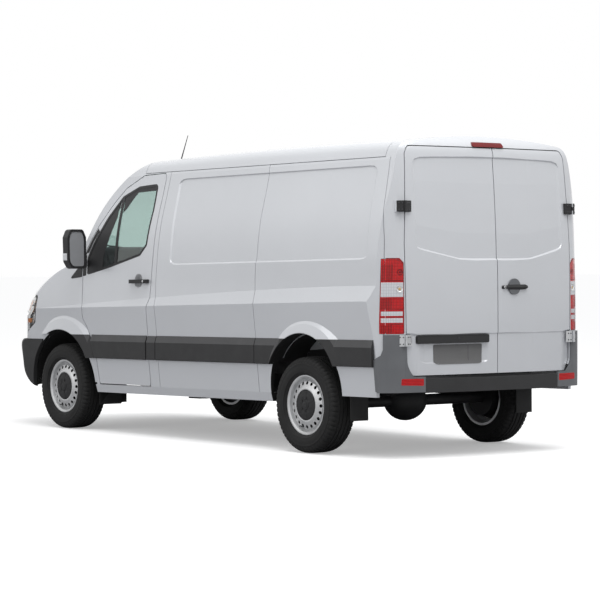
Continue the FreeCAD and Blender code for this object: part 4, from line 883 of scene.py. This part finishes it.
def add_pillar_strips():
    """The rub strip's short piece on each pillar behind the front door, with the strip's own section, and a
    painted highlight on the strips' upward faces.
    """
    tree = skin_tree("rub_strips")
    section = []
    for step in range(62):
        z = 602 + step * 4
        place = drop_on(tree, LEFT_WALL, -150, z)[0]
        if place is not None and place.x > 900:
            section.append((place.x, z))
    back = [(x - 16, z) for x, z in (section[0], section[-1])]
    strip = prism("y", back[:1] + section + back[1:], -344, -226)
    mesh = add_piece("pillar_strips", "chassis", both_sides([(strip, STRIP)]), RAKE, 20).data
    # Painted highlight: the upward faces of the rub strips and door trims get the lighter painted-sheen
    # black.
    for name in ("rub_strips", "door_trim_left", "door_trim_right"):
        repaint_facing(name, STRIP_PAINTED_SHEEN, lambda place, facing: abs(place.x) > 960 and 600 < place.z < 860
                       and facing.z > 0.2)
    # The pillar pieces' upward faces get the same painted highlight.
    mesh.materials.append(STRIP_PAINTED_SHEEN)
    for polygon in mesh.polygons:
        if polygon.normal.z > 0.2:
            polygon.material_index = 1


def add_instrument_hood():
    """The hood over the instruments, on the dashboard in front of the wheel."""
    hood = prism("x", rounded([(-1560, 1300), (-1366, 1300), (-1372, 1420), (-1400, 1500), (-1450, 1532),
                               (-1510, 1520), (-1556, 1440)], 26), 190, 670, 16, 3)
    add_piece("instrument_hood", "chassis", [(hood, TRIM)])


# Nose: screen surround, wipers, headlamps, radiator and fog lamps

SCREEN = [(-800, 1452), (800, 1452), (835, 1520), (700, 2120), (640, 2165), (-640, 2165), (-700, 2120),
          (-835, 1520)]
FOG_AT = (630, -2510, 528)


def add_screen():
    tree = skin_tree("windscreen")
    outer, inner = [rounded(scaled(SCREEN, inset), 50, 5) for inset in (-4, -46)]
    frit = ring_patch(tree, FRONT_WALL, outer, inner, 0.2, 1, 50)
    add_piece("screen_surround", "chassis", [(frit, NEAR_BLACK_AND_SHADE)])
    parts = []
    for pivot_x, tip_x, tip_z in ((-640, 120, 1544), (60, 770, 1556)):
        arm = line_on(tree, FRONT_WALL, [(pivot_x, 1484), (tip_x - 250, 1520)], 18, 90)
        blade, rubber = [line_on(tree, FRONT_WALL, [(tip_x - 590, 1504), (tip_x, tip_z)], raised, 60)
                         for raised in (9, 3)]
        parts += [(tube(arm, 7, 8), DARK), (tube(blade, 6, 6), DARK), (tube(rubber, 2.6, 6), FLAP)]
    add_piece("wipers", "chassis", parts)


def add_nose():
    tree = skin_tree("headlamps")
    parts = [(lamp_band(tree, *strip, nose_span, NOSE_WALL), finish) for finish, *strip in (
        (SILVER, 772, 1040, -9, 9, (0, 1), -11), (SILVER, 1048, 1112, -9, 9, (0.1, 1), -11),
        (LAMP_AMBER, 1000, 1090, -5, 6, (0.66, 0.9), -8.5),
        (LAMP_AMBER, 900, 935, -5, 6, (0.8, 0.95), -8.5))]
    for share, z, radius in ((0.24, 870, 52), (0.52, 940, 58)):
        bulb = lamp_bulb(tree, share, z, radius, 7, -9, nose_span, NOSE_WALL)
        parts += zip(bulb, (BRIGHT, LENS_WHITE))
    add_piece("headlamp_inner", "chassis", both_sides(parts))
    core = [(block(-545, 545, -2446, -2420, 776, 1036, 4), DARK)]
    for x in range(-525, 555, 30):
        core.append((block(x, x + 6, -2452, -2445, 782, 1030, 1.5), SCREWS))
    core.append((block(-440, 440, -2528, -2518, 458, 592, 3), DARK))
    add_piece("radiator", "chassis", core)
    fogs = [(block(546, 712, -2508, -2496, 470, 584, 3), DARK),
            (revolve([(0, 38), (12, 38), (16, 34), (14, 31), (2, 30)], FOG_AT, "y", 32, -1), TRIM),
            (revolve([(3, 31), (10, 27), (12.5, 14), (13, 0)], FOG_AT, "y", 32, -1), LENS_WHITE)]
    add_piece("fog_lamps", "chassis", both_sides(fogs))


# Sliding door: handle and rail cover on the far side

HANDLE_Z = 1237


def add_far_side():
    door = skin_tree("sliding_door")
    x = drop_on(door, RIGHT_WALL, -40, HANDLE_Z)[0].x
    grip = tube(smooth_line([(x + out, y, HANDLE_Z) for out, y in (
        (2, -160), (-24, -150), (-30, -120), (-30, 30), (-24, 62), (2, 72))]), 11, 12)
    backing = patch(door, RIGHT_WALL, rounded([(-92, 1196), (-6, 1196), (4, HANDLE_Z), (-6, 1280),
                                               (-92, 1280), (-102, HANDLE_Z)], 16), 0.3, 1.6, 24)
    add_piece("sliding_handle", "chassis", [(grip, DARK), (backing, FOOT_GREY)])
    rail = patch(skin_tree("quarter_panel_right"), RIGHT_WALL,
                 rounded([(1110, 1052), (2420, 1066), (2420, 1086), (1110, 1072)], 8), 0.2, 2, 60)
    add_piece("slide_rail_cover", "chassis", [(rail, DARK)])


# Rear bumper: infill below the rounded corners of the doors

CORNER_FILL = [(690, 546), (807, 546), (807, 845), (800.5, 845), (797.5, 720), (794.5, 650), (790, 628),
               (776, 594), (752, 562), (742, 553), (726, 549.5), (690, 549)]
FILL_DEPTH = 16
BUMPER_END_X = 818
BUMPER_FOOT_Z = 560


def add_corner_fill():
    tree = skin_tree("rear_bumper")

    def skin_y(x, z):
        return drop_on(tree, REAR_WALL, x, z)[0].y

    bm = prism("y", CORNER_FILL, 0, 1)
    bmesh.ops.triangulate(bm, faces=bm.faces)
    for vert in bm.verts:
        outer = (skin_y(vert.co.x, 540) + skin_y(BUMPER_END_X, max(vert.co.z, BUMPER_FOOT_Z))
                 - skin_y(BUMPER_END_X, BUMPER_FOOT_Z))
        vert.co.y = outer - (0 if vert.co.y > 0.5 else FILL_DEPTH)
    add_piece("bumper_corner_fill", "chassis", both_sides([(bm, GREY)]))


# Seats: crowned cushions and backs with sewn channels and head restraints

SEATS = [("driver", 170, 700, (0.24, 0.76), (0.5,)), ("bench", -760, 60, (0.13, 0.5, 0.87), (0.25, 0.75))]
CUSHION_LENGTH = 500
CUSHION_AT = (-878, 902)
CUSHION_LEAN = -4
BACK_LENGTH = 640
BACK_AT = (-582, 1290)
BACK_LEAN = 103
CUSHION_BOX = rounded([(-1090, 674), (-640, 674), (-640, 895), (-1070, 895)], 20)
BACK_BOX = rounded([(-640, 900), (-560, 900), (-462, 1588), (-500, 1600), (-560, 1560)], 18)


def cushion_mesh(length, width, height, channels, crown=26, waist=12):
    """A closed crowned pad: u along its length, v across, its top swelling between the seams."""
    bm = bmesh.new()
    steps_u, steps_v = 30, 26

    def place(u, v, side):
        edge = min(1, 4.2 * min(u, 1 - u)) * min(1, 4.2 * min(v, 1 - v))
        round_u = 1 - (2 * u - 1) ** 6
        round_v = 1 - (2 * v - 1) ** 6
        swell = math.sqrt(max(round_u * round_v, 0))
        groove = sum(7 * math.exp(-((v * width - line) / 7) ** 2) for line in channels)
        pull = waist * (1 - (2 * v - 1) ** 2) * (2 * u - 1) ** 8
        x = (v - 0.5) * width
        y = (u - 0.5) * (length - 2 * pull)
        if side > 0:
            z = height * (0.45 + 0.55 * swell) + crown * swell * edge - groove * edge
        else:
            z = height * 0.45 * (1 - swell)
        return Vector((x, y, z))

    for side in (1, -1):
        lattice(bm, [[bm.verts.new(place(a / steps_u, b / steps_v, side)) for b in range(steps_v + 1)]
                     for a in range(steps_u + 1)])
    bmesh.ops.remove_doubles(bm, verts=bm.verts, dist=0.01)
    return bm


def placed(bm, origin, lean):
    """Stands a form at a place, leaning about the van's cross axis."""
    turn = Matrix.Translation(Vector(origin)) @ Matrix.Rotation(math.radians(lean), 4, "X")
    bmesh.ops.transform(bm, matrix=turn, verts=bm.verts)
    return bm


def piping(length, width, height):
    """The sewn edge round a pad."""
    u, v = width / 2 - 4, length / 2 - 4
    outline = rounded([(-u, -v), (u, -v), (u, v), (-u, v)], 40, 6)
    return tube([(u, v, height) for u, v in outline], 3.2, 6, True)


def add_seats():
    for name, x0, x1, seams, heads in SEATS:
        middle = (x0 + x1) / 2
        width = x1 - x0
        channels = [width * share for share in seams]
        on_base = ((middle, *CUSHION_AT), CUSHION_LEAN)
        on_back = ((middle, *BACK_AT), BACK_LEAN)
        base = placed(cushion_mesh(CUSHION_LENGTH, width, 96, channels), *on_base)
        add_piece("seat_cushion_" + name, "chassis", [(base, FABRIC)])
        back = placed(cushion_mesh(BACK_LENGTH, width - 6, 84, channels, 20), *on_back)
        add_piece("seat_back_" + name, "chassis", [(back, FABRIC)])
        for index, share in enumerate(heads):
            x = x0 + width * share
            pad = placed(cushion_mesh(170, 250, 70, [], 14, 6), (x, -512, 1686), BACK_LEAN)
            add_piece("head_rest_%s_%d" % (name, index), "chassis", [(pad, FABRIC)])
            posts = [(tube([(post_x, -540, 1540), (post_x, -536, 1640)], 6), BRIGHT)
                     for post_x in (x - 60, x + 60)]
            add_piece("head_posts_%s_%d" % (name, index), "chassis", posts)
        sewn = [(placed(piping(CUSHION_LENGTH, width, 62), *on_base), TRIM),
                (placed(piping(BACK_LENGTH, width - 6, 54), *on_back), TRIM)]
        add_piece("seat_piping_" + name, "chassis", sewn)
        stand = add_piece("seat_frame_" + name, "chassis",
                          [(prism("x", CUSHION_BOX, x0 + 34, x1 - 34, 6), TRIM),
                           (prism("x", BACK_BOX, x0 + 30, x1 - 30, 8), TRIM)])
        if name == "driver":
            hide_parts("cab_seats")


# Painted shade, in part real underseal: near-black inside the wheel arches, given by their centres and
# radii, and below the floor

ARCHES = [(-1612.6, 376.8, 471.5), (1637.4, 327, 419.5)]


def in_arch(place):
    return any(math.hypot(place.y - y, place.z - z) < radius for y, z, radius in ARCHES)


def faces_axle(place, facing):
    """Whether a face near a wheel arch looks at the axle."""
    for y, z, radius in ARCHES:
        toward = Vector((0, y - place.y, z - place.z))
        if toward.length < radius + 105 and facing.dot(toward) > 0.55 * toward.length:
            return True
    return False


def darken_arches():
    # Painted shade on the panels inside the arches and on the faces that look at the axles.
    for name in ("front_fenders", "quarter_panel_left", "quarter_panel_right", "rub_strips", "sills",
                 "cab_frame", "side_panel_left", "sliding_door"):
        repaint(name, NEAR_BLACK_AND_SHADE, lambda place: in_arch(place) and abs(place.x) < 985)
        repaint_facing(name, NEAR_BLACK_AND_SHADE, faces_axle)
    # Painted shade under the floor and on the wheel houses' undersides, in part real underseal.
    repaint("floor_pan", NEAR_BLACK_AND_SHADE, lambda place: in_arch(place) or place.z < 655)
    repaint_facing("floor_pan", NEAR_BLACK_AND_SHADE, lambda place, facing: faces_axle(place, facing) or (
        700 < abs(place.x) and 1100 < place.y < 2200 and facing.z < -0.5))
    # The liners inside the arches go darker than their own black: painted shade.
    repaint("wheel_liners", NEAR_BLACK_AND_SHADE, in_arch)


darken_arches()
for axle, half_track, axle_y in AXLES:
    for side, sign in SIDES:
        add_wheel(axle + "_" + side, sign, sign * half_track, axle_y, "wheel_" + axle[0] + side[0])
add_tail()
add_door_details("left", LEFT_WALL)
add_door_details("right", RIGHT_WALL)
add_pillar_strips()
add_instrument_hood()
add_screen()
add_nose()
add_far_side()
add_corner_fill()
add_seats()


# Camera, from the fitted view of the photograph

CAMERA_PLACE_MM = (12022.6, 15744.5, 1442.9)
CAMERA_AZIMUTH_DEG = 142.014
CAMERA_ELEVATION_DEG = 1.048
CAMERA_ROLL_DEG = 0.093
FOCAL_PIXELS = 2470.5
FRAME_PIXELS = 600
SENSOR_MM = 36.0


def add_camera():
    azimuth = math.radians(CAMERA_AZIMUTH_DEG)
    elevation = math.radians(CAMERA_ELEVATION_DEG)
    roll = math.radians(CAMERA_ROLL_DEG)
    back = Vector((math.sin(azimuth) * math.cos(elevation), -math.cos(azimuth) * math.cos(elevation),
                   math.sin(elevation)))
    right = UP.cross(back).normalized()
    up = back.cross(right)
    turned_right = right * math.cos(roll) + up * math.sin(roll)
    turned_up = up * math.cos(roll) - right * math.sin(roll)
    data = bpy.data.cameras.new("photo_camera")
    data.sensor_width = SENSOR_MM
    data.lens = SENSOR_MM * FOCAL_PIXELS / FRAME_PIXELS
    data.clip_end = 500.0
    camera = new_object("photo_camera", data)
    turn = Matrix((turned_right, turned_up, back)).transposed().to_4x4()
    camera.matrix_world = Matrix.Translation(Vector(CAMERA_PLACE_MM) * MM) @ turn
    bpy.context.scene.camera = camera


# Floor, sky and lamps

FLOOR_HALF = 120.0


def add_light(name, size, place, target, power):
    data = bpy.data.lights.new(name, "AREA")
    data.shape = "RECTANGLE"
    data.size, data.size_y = size
    data.energy = power
    lamp = new_object(name, data)
    lamp.location = place
    lamp.rotation_euler = (Vector(target) - Vector(place)).to_track_quat("-Z", "Y").to_euler()


def add_sky():
    """Soft grey dome, white to the camera, behind glass and in gloss."""
    world = bpy.data.worlds.new("sky")
    bpy.context.scene.world = world
    world.use_nodes = True
    tree = world.node_tree
    light = tree.nodes["Background"]
    put(light, {"Strength": 0.85})
    seen = add_node(tree, "Background", {"Color": (1, 1, 1, 1), "Strength": 1.0})
    split = add_node(tree, "SeparateXYZ")
    span = add_node(tree, "MapRange", {"From Min": -1.0})
    ramp = add_ramp(tree, (0.42, (0.40, 0.41, 0.42)), (1.0, (1.0, 1.0, 1.0)), (0.6, (0.66, 0.67, 0.69)))
    path = add_node(tree, "LightPath")
    either = add_node(tree, "Math")
    any_ray = add_node(tree, "Math")
    either.operation = any_ray.operation = "MAXIMUM"
    mix = add_node(tree, "MixShader")
    link(add_node(tree, "TexCoord"), "Generated", split, "Vector")
    link(split, "Z", span, "Value")
    link(span, "Result", ramp, "Fac")
    link(ramp, "Color", light, "Color")
    link(path, "Is Camera Ray", either, 0)
    link(path, "Is Transmission Ray", either, 1)
    link(either, 0, any_ray, 0)
    link(path, "Is Glossy Ray", any_ray, 1)
    link(any_ray, 0, mix, "Fac")
    link(light, "Background", mix, 1)
    link(seen, "Background", mix, 2)
    link(mix, "Shader", tree.nodes["World Output"], "Surface")


def add_floor():
    """A large pale floor that keeps the van's shadow and meets the white sky."""
    mesh = bpy.data.meshes.new("floor")
    corners = [(x * FLOOR_HALF, y * FLOOR_HALF, 0) for x, y in ((-1, -1), (1, -1), (1, 1), (-1, 1))]
    mesh.from_pydata(corners, [], [(0, 1, 2, 3)])
    floor = new_object("floor", mesh)
    material, shader = new_shader("floor", {})
    tree = shader.id_data
    tree.nodes.remove(shader)
    bounce = add_node(tree, "BsdfDiffuse", {"Color": (0.42, 0.42, 0.43, 1)})
    shown = add_node(tree, "BsdfDiffuse", {"Color": (0.85, 0.85, 0.85, 1)})
    glow = add_node(tree, "Emission", {"Strength": 0.35})
    lit = add_node(tree, "AddShader")
    mix = add_node(tree, "MixShader")
    link(shown, "BSDF", lit, 0)
    link(glow, "Emission", lit, 1)
    link(add_node(tree, "LightPath"), "Is Camera Ray", mix, "Fac")
    link(bounce, "BSDF", mix, 1)
    link(lit, "Shader", mix, 2)
    link(mix, "Shader", tree.nodes["Material Output"], "Surface")
    mesh.materials.append(material)


add_camera()
add_sky()
add_floor()
add_light("roof_softbox", (9.0, 9.0), (1.0, 4.0, 9.0), (0, 0.5, 0.5), 760.0)
add_light("side_softbox", (6.0, 4.0), (11.0, -3.0, 5.0), (0, 0, 1.2), 130.0)
bpy.context.scene.view_settings.view_transform = "Standard"
